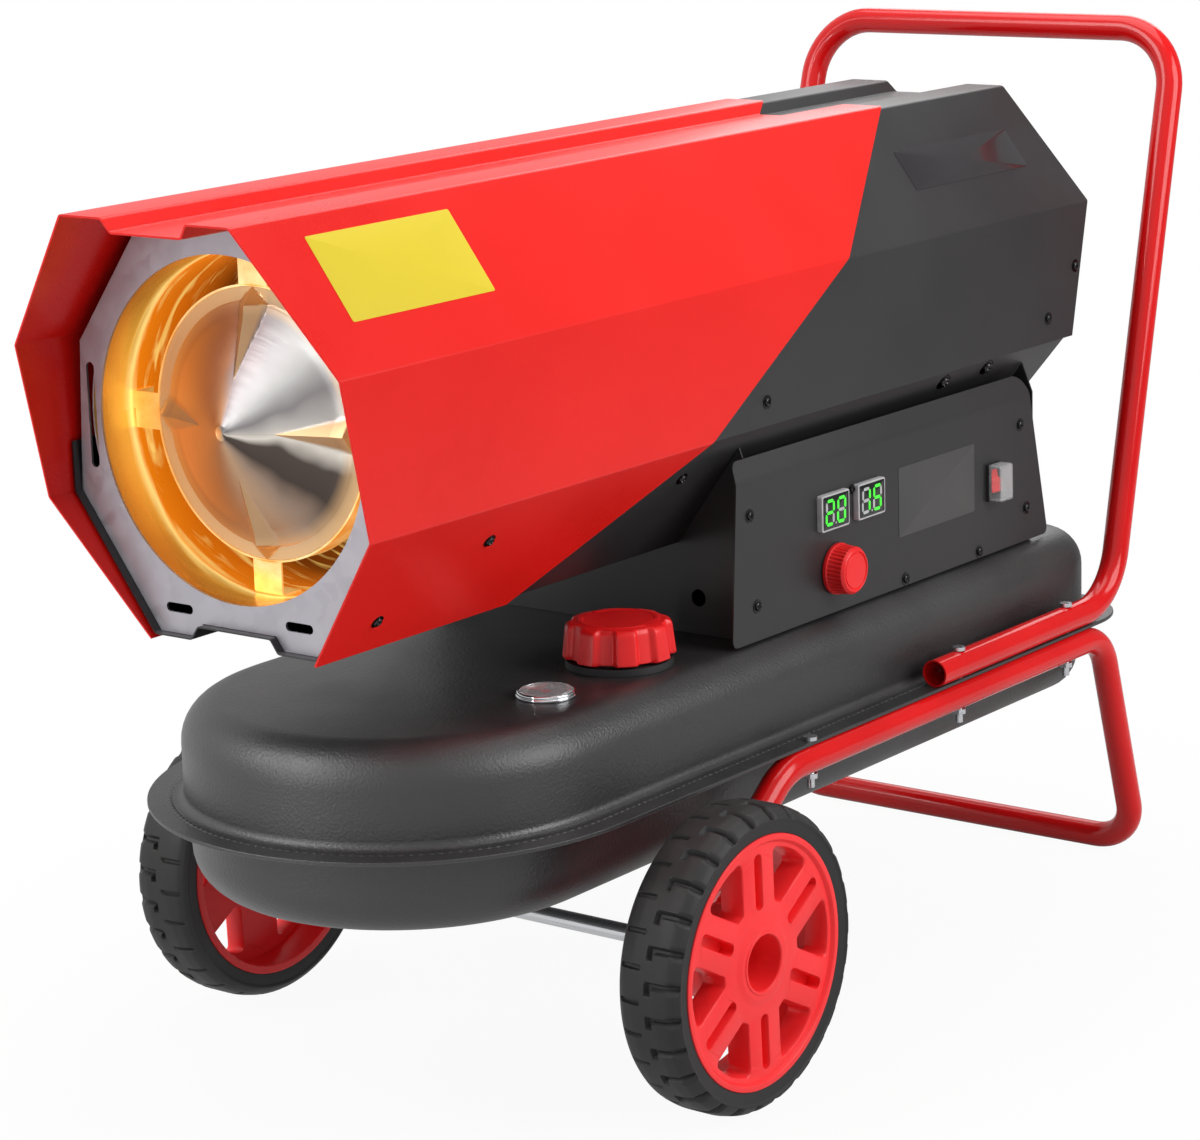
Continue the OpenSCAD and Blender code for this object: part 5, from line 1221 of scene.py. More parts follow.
for name, side in SIDES:
    make_piece(
        name + "_spokes", hub_patches(side), hub_plastic, body=name + "_wheel", stands_for=["hub_" + name],
        crease=40,
    )

# %% [markdown]
# ## Hot end
# The flame cone is made from one disc: a spun cone, a flat rim and four pressed ribs that stand on the
# rim like folded kites. As a height over radius and angle it needs no modelling of edges: a rib is a fold
# that widens to its peak and closes at the rim, and it is added to the cone.

# %% Flame cone
CONE_H, CONE_T, CONE_FOOT_R, CONE_EASE_R = 44.0, 1.5, 88.0, 76.0
CONE_BASE = span("flame_cone")[0][1] + CONE_H
TIP_R, TIP_SUNK, RIM_H, RIM_EASE_H = 6.0, 3.0, 1.2, 0.6
RING_IN, RING_DEEP, TAB_W = 99.0, 20.0, 27.0
CONE_RIM = RING_IN - 0.4
RIBS, RIB_H = 4, 10.0


def around_axis(radius, height, angle, base):
    """Points about the burner's axis: radius and angle across it, height forwards from a base along it."""
    return np.stack([radius * np.cos(angle), base - height + 0 * angle, AXIS_Z + radius * np.sin(angle)], -1)


def cone_height(radius, angle):
    """Cone, flat rim and ribs, as a height in millimetres over radius and angle."""
    skin = CONE_H * (1 - radius / CONE_FOOT_R)
    rim = RIM_H + 0 * radius
    eased = np.hypot(np.maximum(skin, 0), RIM_EASE_H) + rim * step_between(radius, CONE_EASE_R, CONE_FOOT_R)
    plain = np.where(radius > CONE_FOOT_R, rim, eased)
    plain = np.where(radius < TIP_R, CONE_H - TIP_SUNK + 0.02 * radius**2, plain)
    turn = (angle + np.pi / RIBS) % (2 * np.pi / RIBS) - np.pi / RIBS
    aside = np.abs(radius * np.sin(turn))
    along = radius * np.cos(turn)
    widening = np.clip((along - RIB_START) / (RIB_PEAK - RIB_START), 0, 1)
    closing = np.clip((RING_IN - along) / (RING_IN - RIB_PEAK), 0, 1)
    spread = np.maximum(np.minimum(widening, closing), 1e-6)
    fold = np.clip(1 - aside / (RIB_HALF * spread), 0, 1)
    return plain + RIB_H * spread * fold


def cone_grid():
    """The pressed skin out to its rim, then the same skin one thickness behind it, back to the middle."""
    angle = np.linspace(0, 2 * np.pi, 360, endpoint=False)
    radius = np.concatenate([[0, 2, 4, 5.5, 6.5, 9], np.linspace(12, CONE_RIM, 74)])[:, None]
    height = cone_height(radius, angle)
    front = around_axis(radius, height, angle, CONE_BASE)
    back = around_axis(radius, height - CONE_T, angle, CONE_BASE)
    return np.concatenate([front, back[::-1]])


make_piece(
    "pressed_cone", [patch(cone_grid(), wrap_columns=True)], cone_steel,
    stands_for=["flame_cone"], crease=24,
)

# %% [markdown]
# A ring holds the cone, and four tabs hold the ring in the chamber's mouth. Each tab is a strip bent
# once, out to the wall and back along it. The chamber itself is a turned pot with a hole for the burner
# in its end.

# %% Ring, tabs and chamber


def turned_about_axis(profile, count=144):
    """A closed profile of (radius, height) turned about the burner's axis."""
    angle = np.linspace(0, 2 * np.pi, count, endpoint=False)
    radius, height = np.asarray(profile, float).T[..., None]
    return patch(around_axis(radius, height, angle, CONE_BASE), True, True)


def tab_slab(turn):
    """A strip from the ring out to the wall and back along it: a bent path carried across its width."""
    reach = np.sqrt((CHAMBER_R - 0.4) ** 2 - TAB_W**2 / 4)
    start, under, back = RING_IN + 0.5, reach - CONE_T, CONE_T - RING_DEEP
    outer = rounded([(start, CONE_T), (reach, CONE_T), (reach, back)], [0, 3.0, 0])
    inner = rounded([(start, 0), (under, 0), (under, back)], [0, 1.5, 0])
    width = np.linspace(-TAB_W / 2, TAB_W / 2, 5)[:, None]

    def sheet(path):
        out, height = path.T
        x, z = out * np.cos(turn) - width * np.sin(turn), out * np.sin(turn) + width * np.cos(turn)
        return np.stack([x, CONE_BASE - height + 0 * width, AXIS_Z + z], -1)

    return slab(sheet(outer), sheet(inner))


ring_out, ring_back = RING_IN + CONE_T, CONE_T - RING_DEEP
ring_profile = [(RING_IN, CONE_T), (ring_out, CONE_T), (ring_out, ring_back), (RING_IN, ring_back)]
tabs = sum([tab_slab(k * 2 * np.pi / RIBS) for k in range(RIBS)], [])
holder = [turned_about_axis(ring_profile)] + tabs
make_piece("cone_holder", holder, ring_painted_glow, stands_for=["cone_ring"])

BURNER_HOLE, MOUTH_RUN = 46.3, 60.0
chamber_deep, mouth = CONE_BASE - chamber_high[1], CONE_BASE - chamber_low[1]
chamber_out, end_plate = CHAMBER_R + CHAMBER_T, chamber_deep + CHAMBER_T
chamber_profile = [
    (CHAMBER_R, mouth), (CHAMBER_R, mouth - MOUTH_RUN), (CHAMBER_R, end_plate),
    (BURNER_HOLE, end_plate), (BURNER_HOLE, chamber_deep),
    (chamber_out, chamber_deep), (chamber_out, mouth),
]
chamber = turned_about_axis(chamber_profile)
make_piece("chamber_wall", [chamber], chamber_painted_glow, stands_for=["combustion_chamber"])

# %% [markdown]
# ## Moulded caps and knobs
# The fuel cap and the thermostat's knob are both turned shapes whose radius also depends on the angle:
# eight shallow hollows round the cap, and fine flutes round the knob. How far the hollows reach is a
# factor along the profile, so they fade out on the top.

# %% Fuel cap
cap_low, cap_high = span("fuel_cap")
CAP_X, CAP_Y = (cap_low[:2] + cap_high[:2]) / 2
CAP_R, CAP_LOBES, CAP_HOLLOW = cap_high[0] - CAP_X, 8, 4.4
NECK_R, CAP_WALL, CAP_TOP_T = 33.4, 1.0, 4.6
WAVE_GAIN, WAVE_SHIFT, WAVE_FLOOR = 1.6, 0.1, -0.35
BEAD_IN, BEAD_OUT = 28.0, 31.0
GAP_TURN, GAP_HALF, GAP_SOFT, GAP_DEEP = np.radians(95), 0.28, 0.03, 0.7


def cap_grid():
    """Rings of the cap's profile (r, z); on the side each ring draws in by an eightfold wave, cut flat.

    The bead on the top has two gaps, where its height is taken away again.
    """
    top, foot = cap_high[2] - 0.5, cap_low[2]
    bead = [(BEAD_IN - 1, top), (BEAD_IN, top + 0.5), (BEAD_OUT, top + 0.5), (BEAD_OUT + 1, top - 0.2)]
    profile = [(0, top), *bead, (CAP_R - 3, top - 1.4), (CAP_R, foot)]
    outside = rounded(profile, [0, 0.6, 0.5, 0.5, 0.6, 5.0, 0], steps=6)
    wall = np.linspace(outside[-2], outside[-1] + [0, 1.0], 10)[1:]
    under = top - CAP_TOP_T
    inside = [(CAP_R - CAP_WALL, foot), (NECK_R, foot), (NECK_R, foot + 12), (NECK_R, under), (0, under)]
    radius, z = np.vstack([outside[:-1], wall, inside]).T[..., None]
    angle = np.linspace(0, 2 * np.pi, 320, endpoint=False)
    wave = np.clip(-np.cos(CAP_LOBES * angle) * WAVE_GAIN + WAVE_SHIFT, WAVE_FLOOR, 1)
    hollow = CAP_HOLLOW * step_between(wave, WAVE_FLOOR, 1.0)
    share = step_between(radius, NECK_R + 1.5, CAP_R - 3)
    turned = radius - hollow * share
    gap = band(np.abs((angle - GAP_TURN) % np.pi - np.pi / 2), 0.0, GAP_HALF, GAP_SOFT)
    level = z - GAP_DEEP * gap * band(radius, BEAD_IN, BEAD_OUT, 0.5) * (z > top - 1)
    return np.stack([CAP_X + turned * np.cos(angle), CAP_Y + turned * np.sin(angle), level + 0 * angle], -1)


make_piece(
    "cap_skin", [patch(cap_grid(), wrap_columns=True)], red_plastic, body="cap",
    stands_for=["fuel_cap"], crease=48,
)

# %% [markdown]
# The knob has a smooth collar at its foot, a fluted grip and a face with a fine groove. It is turned
# about an axis that points out of the panel, with its flutes cut by a wave in the angle.

# %% Thermostat knob
knob_low, knob_high = span("thermostat_knob")
KNOB_Y, KNOB_Z = (knob_low[1:] + knob_high[1:]) / 2
KNOB_R, KNOB_FLUTES, FLUTE_DEEP, BORE_R = knob_high[2] - KNOB_Z, 36, 0.9, 3.1


def knob_grid():
    """Rings of (x, r) about the knob's axis; flutes are cut between the collar and the rounded front edge."""
    foot, face = knob_low[0], knob_high[0]
    collar = [(foot, BORE_R), (foot, KNOB_R), (foot + 3, KNOB_R), (foot + 3.8, KNOB_R - 0.6)]
    side = collar + [(face - 2.6, KNOB_R - 1.6), (face, KNOB_R - 4)]
    groove = [(face, 16), (face - 1.3, 15.4), (face - 1.3, 14.6), (face - 0.3, 14)]
    front = groove + [(face - 0.3, 0)]
    outside = rounded(side + front, [0, 0.5, 0.3, 0.3, 2.0, 1.5, 0.3, 0.2, 0.2, 0.3, 0], steps=5)
    inside = [(face - 6, 0), (face - 6, BORE_R)]
    x, radius = np.vstack([outside, inside]).T[..., None]
    angle = np.linspace(0, 2 * np.pi, KNOB_FLUTES * 8, endpoint=False)
    flute = 0.5 - 0.5 * np.cos(KNOB_FLUTES * angle)
    share = band(x, foot + 4.5, face - 3.4, 1.0) * (radius > 17)
    turned = radius - FLUTE_DEEP * flute**2 * share
    return np.stack([x + 0 * angle, KNOB_Y + turned * np.cos(angle), KNOB_Z + turned * np.sin(angle)], -1)


make_piece(
    "knob_skin", [patch(knob_grid(), True, True)], red_plastic, body="knob",
    stands_for=["thermostat_knob"], crease=40,
)

# %% [markdown]
# ## Side panels
# Each side of the pedestal is closed by one plate with a bent upper edge and small rounded corners. Its
# front edge leans a little and its rear edge leans more, so every row of the grid has its own two ends,
# and the rounding moves those ends in near the bottom and the top. The knob's shaft and the switch pass
# through holes, which are cells left out of the grid.

# %% Panels with holes
panel_low, panel_high = span("control_panel")
PANEL_X, PANEL_T = panel_high[0], 1.5
PANEL_Y, PANEL_Z, PANEL_TOP = panel_low[1], panel_low[2], panel_high[2]
LIP, LIP_TURN, PANEL_BEND_R, PANEL_CORNER = 18.0, np.radians(18.0), 4.0, 7.0
FRONT_LEAN, GRID_RUN = np.tan(np.radians(4.0)), (-70.0, 320.0)
SHAFT_ROOM, ROCKER_ROOM = 2.0, 1.0


def hole_box(node, room):
    """A hole's lowest and highest (y, z): the node's box with some room round it."""
    low, high = span(node)
    return low[1:] - room, high[1:] + room


HOLE_BOXES = [hole_box("thermostat_shaft", SHAFT_ROOM), hole_box("switch_rocker", ROCKER_ROOM)]


def holed_slab(outer, inner, holes):
    """A closed sheet with square holes: cells i0 to i1, j0 to j1 are left out and their edges walled."""
    rows, columns = outer.shape[:2]
    keep = np.ones((rows - 1, columns - 1), bool)
    walls = []
    for i0, i1, j0, j1 in holes:
        keep[i0:i1, j0:j1] = False
        walls += [strip(outer[i, j0 : j1 + 1], inner[i, j0 : j1 + 1]) for i in (i0, i1)]
        walls += [strip(outer[i0 : i1 + 1, j], inner[i0 : i1 + 1, j]) for j in (j0, j1)]
    sheet = slab(outer, inner)
    thinned = [(points, quads[keep.ravel()]) for points, quads in sheet[:2]]
    return thinned + sheet[2:] + walls


def panel_rows():
    """Heights up the plate: close together at the corners and bends, and one at each hole's edge."""
    bend = PANEL_TOP - LIP * np.cos(LIP_TURN)
    swing = 1 - np.cos(np.linspace(0, np.pi / 2, 6))
    corner = PANEL_CORNER * swing
    edges = np.array(HOLE_BOXES)[..., 1].ravel()
    near_bend = bend + np.linspace(-6, 6, 13)
    return np.unique(np.concatenate([PANEL_Z + corner, edges, near_bend, PANEL_TOP - corner])), bend


def panel_grid(depth):
    """The plate's skin at a depth: straight up, then leaning in, the bend eased over a few millimetres."""
    z, bend = panel_rows()
    past = z - bend
    curve = (past + PANEL_BEND_R) ** 2 / (4 * PANEL_BEND_R)
    ease = np.where(np.abs(past) < PANEL_BEND_R, curve, np.maximum(past, 0))
    x = PANEL_X - depth - ease * np.tan(LIP_TURN)
    short = np.clip(PANEL_CORNER - np.minimum(z - PANEL_Z, PANEL_TOP - z), 0, None)
    tuck = PANEL_CORNER - np.sqrt(PANEL_CORNER**2 - short**2)
    front = PANEL_Y + (z - PANEL_Z) * FRONT_LEAN + tuck
    lip_share = np.clip(past / (PANEL_TOP - bend), 0, 1)
    back = panel_high[1] - (z - PANEL_Z) * REAR_RAKE - LIP / 2 * lip_share**2 - tuck
    holes = np.array(HOLE_BOXES)[..., 0].ravel()
    middle = np.unique(np.concatenate([np.linspace(*GRID_RUN, 14), holes]))
    y = np.column_stack([front, np.broadcast_to(middle, (len(z), len(middle))), back])
    return np.stack(np.broadcast_arrays(x[:, None], y, z[:, None]), -1), middle


def cells(values, low, high):
    """Numbers of the grid lines at a hole's two edges."""
    return [int(np.argmin(np.abs(values - edge))) for edge in (low, high)]


outer, middle = panel_grid(0)
inner = panel_grid(PANEL_T)[0]
heights = panel_rows()[0]
columns = np.concatenate([[-np.inf], middle, [np.inf]])
panel_holes = [
    cells(heights, low[1], high[1]) + cells(columns, low[0], high[0]) for low, high in HOLE_BOXES
]
panel_sheet = holed_slab(outer, inner, panel_holes)
make_piece("panel_sheet", panel_sheet, black_powder, stands_for=["control_panel"])
far_sheet = slab(outer * [-1, 1, 1], inner * [-1, 1, 1])
make_piece("far_sheet", far_sheet, black_powder, stands_for=["far_panel"])

# %% [markdown]
# ## Small things on the panel
# Displays, the switch and the blank plates are all rounded rectangles that stand on the panel. One
# function makes them: a rounded outline, repeated at a few depths with a small inset each time, and
# closed at both ends.

# %% Rounded blocks


def outline(y, z, width, height, radius, steps=5):
    """A rounded rectangle about (y, z)."""
    half = np.array([width, height]) / 2
    corners = np.array([(1, -1), (1, 1), (-1, 1), (-1, -1)]) * half
    return rounded(corners, min(radius, half.min() * 0.98), steps, closed=True) + [y, z]


def levelled(place, size, radius, levels, least=0.05):
    """Outlines at levels of (x, inset); an inset one is smaller all round, and its corners are tighter."""
    rows = []
    for x, inset_by in levels:
        width, height = np.asarray(size) - 2 * inset_by
        line = outline(*place, width, height, max(radius - inset_by, least))
        rows.append(np.column_stack([np.full(len(line), x), line]))
    return rows


def capped(rows):
    """Rows of points closed at both ends by their middles."""
    ends = [np.broadcast_to(row.mean(0), row.shape) for row in (rows[0], rows[-1])]
    return patch(np.stack([ends[0], *rows, ends[1]]), wrap_columns=True)


def block(place, size, radius, levels):
    """A solid on the panel: outlines from foot to top, closed at both ends."""
    return capped(levelled(place, size, radius, levels))


print("an outline has", len(outline(0, 0, 20, 10, 2)), "points")

# %% [markdown]
# A display is a bezel, a dark screen sunk in it, and seven bars for each figure. Each bar is a flat
# outline with six sides. The lit bars are one piece and the unlit ones another, because they differ in
# finish.

# %% Displays
DISPLAYS = ["display_left", "display_right"]
NUMBERS = {"display_left": "20", "display_right": "15"}
BARS = {"0": "abcdef", "1": "bc", "2": "abged", "5": "afgcd"}
DIGIT_W, DIGIT_H, DIGIT_ASIDE, DIGIT_LEAN = 10.0, 19.0, 8.2, 0.06
BAR_W, BAR_T, BAR_GAP, DOT_W = 2.6, 0.15, 1.2, 2.4


def bar(x, y, z, length, upright):
    """One display bar: a flat six-sided outline, given a little thickness."""
    half, wide = length / 2, BAR_W / 2
    flat = half - wide
    line = np.array([(half, 0), (flat, wide), (-flat, wide), (-half, 0), (-flat, -wide), (flat, -wide)])
    line = line[:, ::-1] * [-1, 1] if upright else line
    return capped([np.column_stack([np.full(6, level), line + [y, z]]) for level in (x, x + BAR_T)])


def digit(x, y, z, lit):
    """The lit and the unlit bars of a figure about (y, z): a on top, then clockwise, with g across."""
    reach, rise = DIGIT_W / 2, DIGIT_H / 2
    long, level = rise - BAR_GAP, DIGIT_W - BAR_GAP
    places = {
        "a": (0, rise), "b": (reach, rise / 2), "c": (reach, -rise / 2), "d": (0, -rise),
        "e": (-reach, -rise / 2), "f": (-reach, rise / 2), "g": (0, 0),
    }
    bars = {}
    for key, (dy, dz) in places.items():
        upright = key in "bcef"
        bars[key] = bar(x, y + dy + DIGIT_LEAN * dz, z + dz, long if upright else level, upright)
    return [bars[key] for key in bars if key in lit], [bars[key] for key in bars if key not in lit]


for node in DISPLAYS:
    low, high = span(node)
    middle, size = (low + high)[1:] / 2, (high - low)[1:]
    top = high[0]
    rise = [(PANEL_X + 0.05, 0), (top - 1.2, 0), (top - 0.3, 0.3), (top, 0.9), (top, 1.5), (top - 0.7, 1.7)]
    bezel = block(middle, size, 2.5, rise)
    make_piece(node + "_bezel", [bezel], bezel_plastic, stands_for=[node])
    screen = block(middle, size - 3.6, 0.5, [(top - 0.68, 0), (top - 0.4, 0), (top - 0.35, 0.1)])
    make_piece(node + "_screen", [screen], screen_black)
    pairs = zip((-DIGIT_ASIDE, DIGIT_ASIDE), NUMBERS[node])
    figures = [digit(top - 0.3, middle[0] + aside, middle[1], BARS[figure]) for aside, figure in pairs]
    lit_bars = sum([lit for lit, unlit in figures], [])
    make_piece(node + "_lit", lit_bars, green_bars)
    dots = [bar(top - 0.3, middle[0], middle[1] - DIGIT_H / 2, DOT_W, False)]
    unlit_bars = sum([unlit for lit, unlit in figures], dots)
    make_piece(node + "_unlit", unlit_bars, pale_bars)

# %% [markdown]
# The rocker switch sits under a clear cover that keeps dust out. The cover is a box with a real wall,
# because clear plastic bends light at both of its skins.

# %% Switch
lid_low, lid_high = span("switch_cover")
LID_MID, LID_SIZE = (lid_low + lid_high)[1:] / 2, (lid_high - lid_low)[1:]
LID_WALL, LID_R = 1.2, 3.0


def clear_box():
    """The switch's clear cover: an outer and an inner skin, open towards the panel."""
    foot, top, wall = lid_low[0], lid_high[0], LID_WALL
    outside = [(foot, 0), (top - 1.6, 0), (top - 0.5, 0.5), (top, 1.6), (top, 4)]
    inside = [(top - wall, 4), (top - wall, 2.2), (top - 1.9, wall + 0.2), (foot, wall)]
    rows = levelled(LID_MID, LID_SIZE, LID_R, outside + inside, 0.4)
    tops = [np.broadcast_to([x, *LID_MID], rows[0].shape) for x in (top, top - wall)]
    outer, inner = np.stack([*rows[:5], tops[0]]), np.stack([tops[1], *rows[5:]])
    edge = np.stack([rows[-1], rows[0]])
    return [patch(grid, wrap_columns=True) for grid in (outer, inner, edge)]


make_piece("switch_lid", clear_box(), clear_plastic, stands_for=["switch_cover"])

# %% [markdown]
# Three plain plates lie flat on the skin: a grey one on the panel, a dark glossy one on the rear cover
# and a yellow one on the hood.

# %% Blank plates
PLATE_MID, PLATE_SIZE, PLATE_R = (204.5, 384.7), (118.0, 58.5), 1.5
HOOD_PLATE, COVER_PLATE = ((-495.5, -343.0), (39.5, 108.8)), ((218.0, 395.0), (45.0, 83.4))
plate_rise = [(PANEL_X + 0.02, 0), (PANEL_X + 0.25, 0), (PANEL_X + 0.32, 0.2)]
make_piece("panel_plate", [block(PLATE_MID, PLATE_SIZE, PLATE_R, plate_rise)], blank_grey)
slant = np.array([FLAT_HALF - HALF_WIDTH, TOP - AXIS_Z - SIDE_HALF])
SLANT_UP = slant / np.hypot(*slant)
SLANT_OUT = np.array([SLANT_UP[1], -SLANT_UP[0]])


def slant_plate(along, up, skin):
    """A thin plate on the upper slant: an outline along y and up the slant, at three heights over it."""
    rows = []
    y_mid, up_mid = np.mean(along), np.mean(up)
    for height, inset_by in ((0.03, 0), (0.25, 0), (0.3, 0.2)):
        line = outline(y_mid, up_mid, np.ptp(along) - 2 * inset_by, np.ptp(up) - 2 * inset_by, PLATE_R)
        foot = np.array([HALF_WIDTH, AXIS_Z + SIDE_HALF])
        place = foot + line[:, 1:] * SLANT_UP + (height - skin) * SLANT_OUT
        rows.append(np.column_stack([place[:, 0], line[:, 0], place[:, 1]]))
    return [capped(rows)]


make_piece("hood_plate", slant_plate(*HOOD_PLATE, 0), blank_yellow)
make_piece("cover_plate", slant_plate(*COVER_PLATE, FRONT_T + SEAT_GAP), blank_dark)

# %% [markdown]
# ## Gauge
# The gauge's rim is a turned ring with a bead. Its face is a flat disc, and the scale on it comes from
# the angle in the material: ticks all round, and a red patch at the empty end.

# %% Level gauge
gauge_high = span("gauge_body")[1]
lens_low, lens_high = span("gauge_lens")
GAUGE_X, GAUGE_Y = (lens_low[:2] + lens_high[:2]) / 2
GAUGE_R, TICKS = gauge_high[0] - GAUGE_X, 16
TICK_SOFT = 0.0004


def turned_up(profile, x, y, count=96):
    """A profile of (r, z) turned about an upright axis; radii near nothing weld into the middle."""
    angle = np.linspace(0, 2 * np.pi, count, endpoint=False)
    radius, z = np.asarray(profile, float).T[..., None]
    return np.stack([x + radius * np.cos(angle), y + radius * np.sin(angle), z + 0 * angle], -1)


rim_top = gauge_high[2]
gauge_profile = rounded(
    [
        (0, rim_top - 3.5), (GAUGE_R - 3, rim_top - 3.5), (GAUGE_R - 3, rim_top), (GAUGE_R - 0.6, rim_top),
        (GAUGE_R - 0.6, DECK_Z + 2.4), (GAUGE_R, DECK_Z + 2.0), (GAUGE_R, DECK_Z + 0.3), (9, DECK_Z + 0.3),
        (9, DECK_Z - 12), (0, DECK_Z - 12),
    ],
    [0, 0.3, 1.2, 1.2, 0.5, 0.8, 0.3, 0.3, 0.3, 0],
    steps=4,
)
rim_grid = turned_up(gauge_profile, GAUGE_X, GAUGE_Y)
rim = [patch(rim_grid, wrap_columns=True)]
make_piece("gauge_rim", rim, chrome, stands_for=["gauge_body"])


def dial_finish():
    """Grey dial: the angle about the gauge's axis makes the ticks, and the radius keeps them in a ring."""
    made, tree, shader = new_finish("gauge dial", Roughness=0.4)
    place = own_place(tree)
    axes = add(tree, "SeparateXYZ", {0: place}).outputs
    x = compute(tree, "SUBTRACT", axes["X"], GAUGE_X * MM)
    y = compute(tree, "SUBTRACT", axes["Y"], GAUGE_Y * MM)
    flat = add(tree, "CombineXYZ", {0: x, 1: y})
    radius = add(tree, "VectorMath", {0: flat.outputs[0]}, operation="LENGTH").outputs["Value"]
    angle = compute(tree, "ARCTAN2", y, x)
    saw = compute(tree, "PINGPONG", compute(tree, "MULTIPLY", angle, TICKS / (2 * np.pi)), 0.5)
    tick = remap(tree, saw, 0.06, 0.10, 1.0, 0.0)
    inside, outside = (GAUGE_R - 9.0) * MM, (GAUGE_R - 5.0) * MM
    past_inside = remap(tree, radius, inside, inside + TICK_SOFT, 0, 1)
    before_outside = remap(tree, radius, outside, outside + TICK_SOFT, 1, 0)
    mark = compute(tree, "MULTIPLY", tick, compute(tree, "MULTIPLY", past_inside, before_outside))
    low_end = compute(tree, "MULTIPLY", remap(tree, angle, 2.2, 2.25, 0, 1), past_inside)
    ground = blend(tree, noise(tree, place, 500.0), (0.10, 0.10, 0.105, 1), (0.18, 0.18, 0.19, 1))
    marked = blend(tree, mark, ground, (0.75, 0.75, 0.75, 1))
    feed(tree, shader, Base_Color=blend(tree, low_end, marked, (0.62, 0.02, 0.02, 1)))
    return made


dial_r, dial_low, dial_top = GAUGE_R - 3.4, rim_top - 3.45, rim_top - 3.3
dial_profile = [(dial_r, dial_low), (dial_r, dial_top), (1.4, dial_top), (1.4, dial_low)]
dial = turned_up(dial_profile, GAUGE_X, GAUGE_Y)
make_piece("gauge_dial", [patch(dial, True, True)], dial_finish())

# %% [markdown]
# ## Screws
# Every small screw is the same pan head with a cross recess and a washer, drawn once as a height over
# radius and angle and set at each place the frame has one. A head has only a few hundred faces.

# %% Screw heads on the panels
SCREW_R, SCREW_H = 4.6, 2.4
CROSS_HALF, CROSS_REACH, CROSS_DEEP = 0.14, 0.45, 0.45
PROUD = 0.02


def head_grid(radius, height):
    """A pan head over a washer, in (across, aside, out): rings of a dome, sunk in a cross near the middle."""
    angle = np.linspace(0, 2 * np.pi, 32, endpoint=False)
    washer = [(1.2, 0.0), (1.2, 0.22), (0.82, 0.25)]
    dome = [(0.81, 0.5), (0.76, 0.75), (0.66, 0.92), (0.5, 0.99)]
    flat = [(0.38, 1.0), (0.26, 1.0), (0.13, 1.0), (0, 1.0)]
    out, rise = np.array(washer + dome + flat).T[..., None]
    across, aside = out * np.cos(angle), out * np.sin(angle)
    cross = np.minimum(np.abs(across), np.abs(aside)) < CROSS_HALF
    sunk = np.where(cross & (out < CROSS_REACH), CROSS_DEEP, 0)
    head = np.stack([across * radius, aside * radius, (rise - sunk) * height], -1)
    foot = np.zeros((1, len(angle), 3))
    return np.concatenate([foot, head])


def set_heads(places, outward, radius=SCREW_R, height=SCREW_H):
    """Heads at places on the skin: the grid's third axis points outwards, and each head has its own turn."""
    outward = unit(np.asarray(outward, float))
    across = unit(np.cross(outward, [0.0, 1.0, 0.0]))
    aside = np.cross(outward, across)
    grid = head_grid(radius, height)
    patches = []
    for k, place in enumerate(np.asarray(places, float)):
        spin = 0.9 * k + 0.3
        first = across * np.cos(spin) + aside * np.sin(spin)
        second = np.cross(outward, first)
        head = place + grid @ np.stack([first, second, outward])
        patches.append(patch(head, wrap_columns=True))
    return patches


def both(places, outward, **sizes):
    """The same heads on the right and the left side."""
    flip = np.array([-1, 1, 1])
    right = set_heads(places, outward, **sizes)
    return right + set_heads(np.asarray(places, float) * flip, np.asarray(outward, float) * flip, **sizes)


panel_places = [(26, 102), (34, 28), (248, 5.6), (364, 5.6), (442, 29), (432, 104)]
panel_spots = [(PANEL_X + PROUD, PANEL_Y + run, PANEL_Z + rise) for run, rise in panel_places]
panel_heads = both(panel_spots, (1, 0, 0))
between = set_heads([(PANEL_X + PROUD, PANEL_Y + 169, PANEL_Z + 96.7)], (1, 0, 0), radius=3.4)
heads = panel_heads + between
make_piece("panel_heads", heads, black_oxide, stands_for=["panel_screws"])

# %% [markdown]
# The casing's screws sit on its upright sides and on the lower slants. A place on a slant is given by its
# run from the tip and its drop below the crease, and the skin there may lie under one or two other
# sheets.

# %% Screws on the casing
CREASE_Z = AXIS_Z - SIDE_HALF
side_x = HALF_WIDTH - FRONT_T - SEAT_GAP + PROUD
side_runs = [(990, 61), (944, 21), (517, 19)]
side_places = [(side_x, TIP + run, CREASE_Z + rise) for run, rise in side_runs]
under = unit(np.array([slant[1], 0, slant[0]]))


def under_slant(run, down, skin):
    """A place on the lower slant: run from the tip, down from the crease, under the outer skin by a depth."""
    share = down / slant[1]
    return np.array([HALF_WIDTH + slant[0] * share, TIP + run, CREASE_Z - down]) - under * (skin - PROUD)


casing_skin = FRONT_T + SHEET_T + 2 * SEAT_GAP
hood_heads = both([under_slant(197, 30, 0), under_slant(110, 75, 0)], under)
casing_heads = both([under_slant(435, 31, casing_skin)], under)
large_places = [under_slant(789, 12, casing_skin), under_slant(855, 10, casing_skin)]
large_heads = both(large_places, under, radius=1.4 * SCREW_R, height=1.25 * SCREW_H)
heads = both(side_places, (1, 0, 0)) + hood_heads + casing_heads + large_heads
make_piece("casing_heads", heads, black_oxide, stands_for=["casing_screws"])

# %% [markdown]
# ## Finishes for the rest of the frame
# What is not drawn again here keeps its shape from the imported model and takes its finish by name.

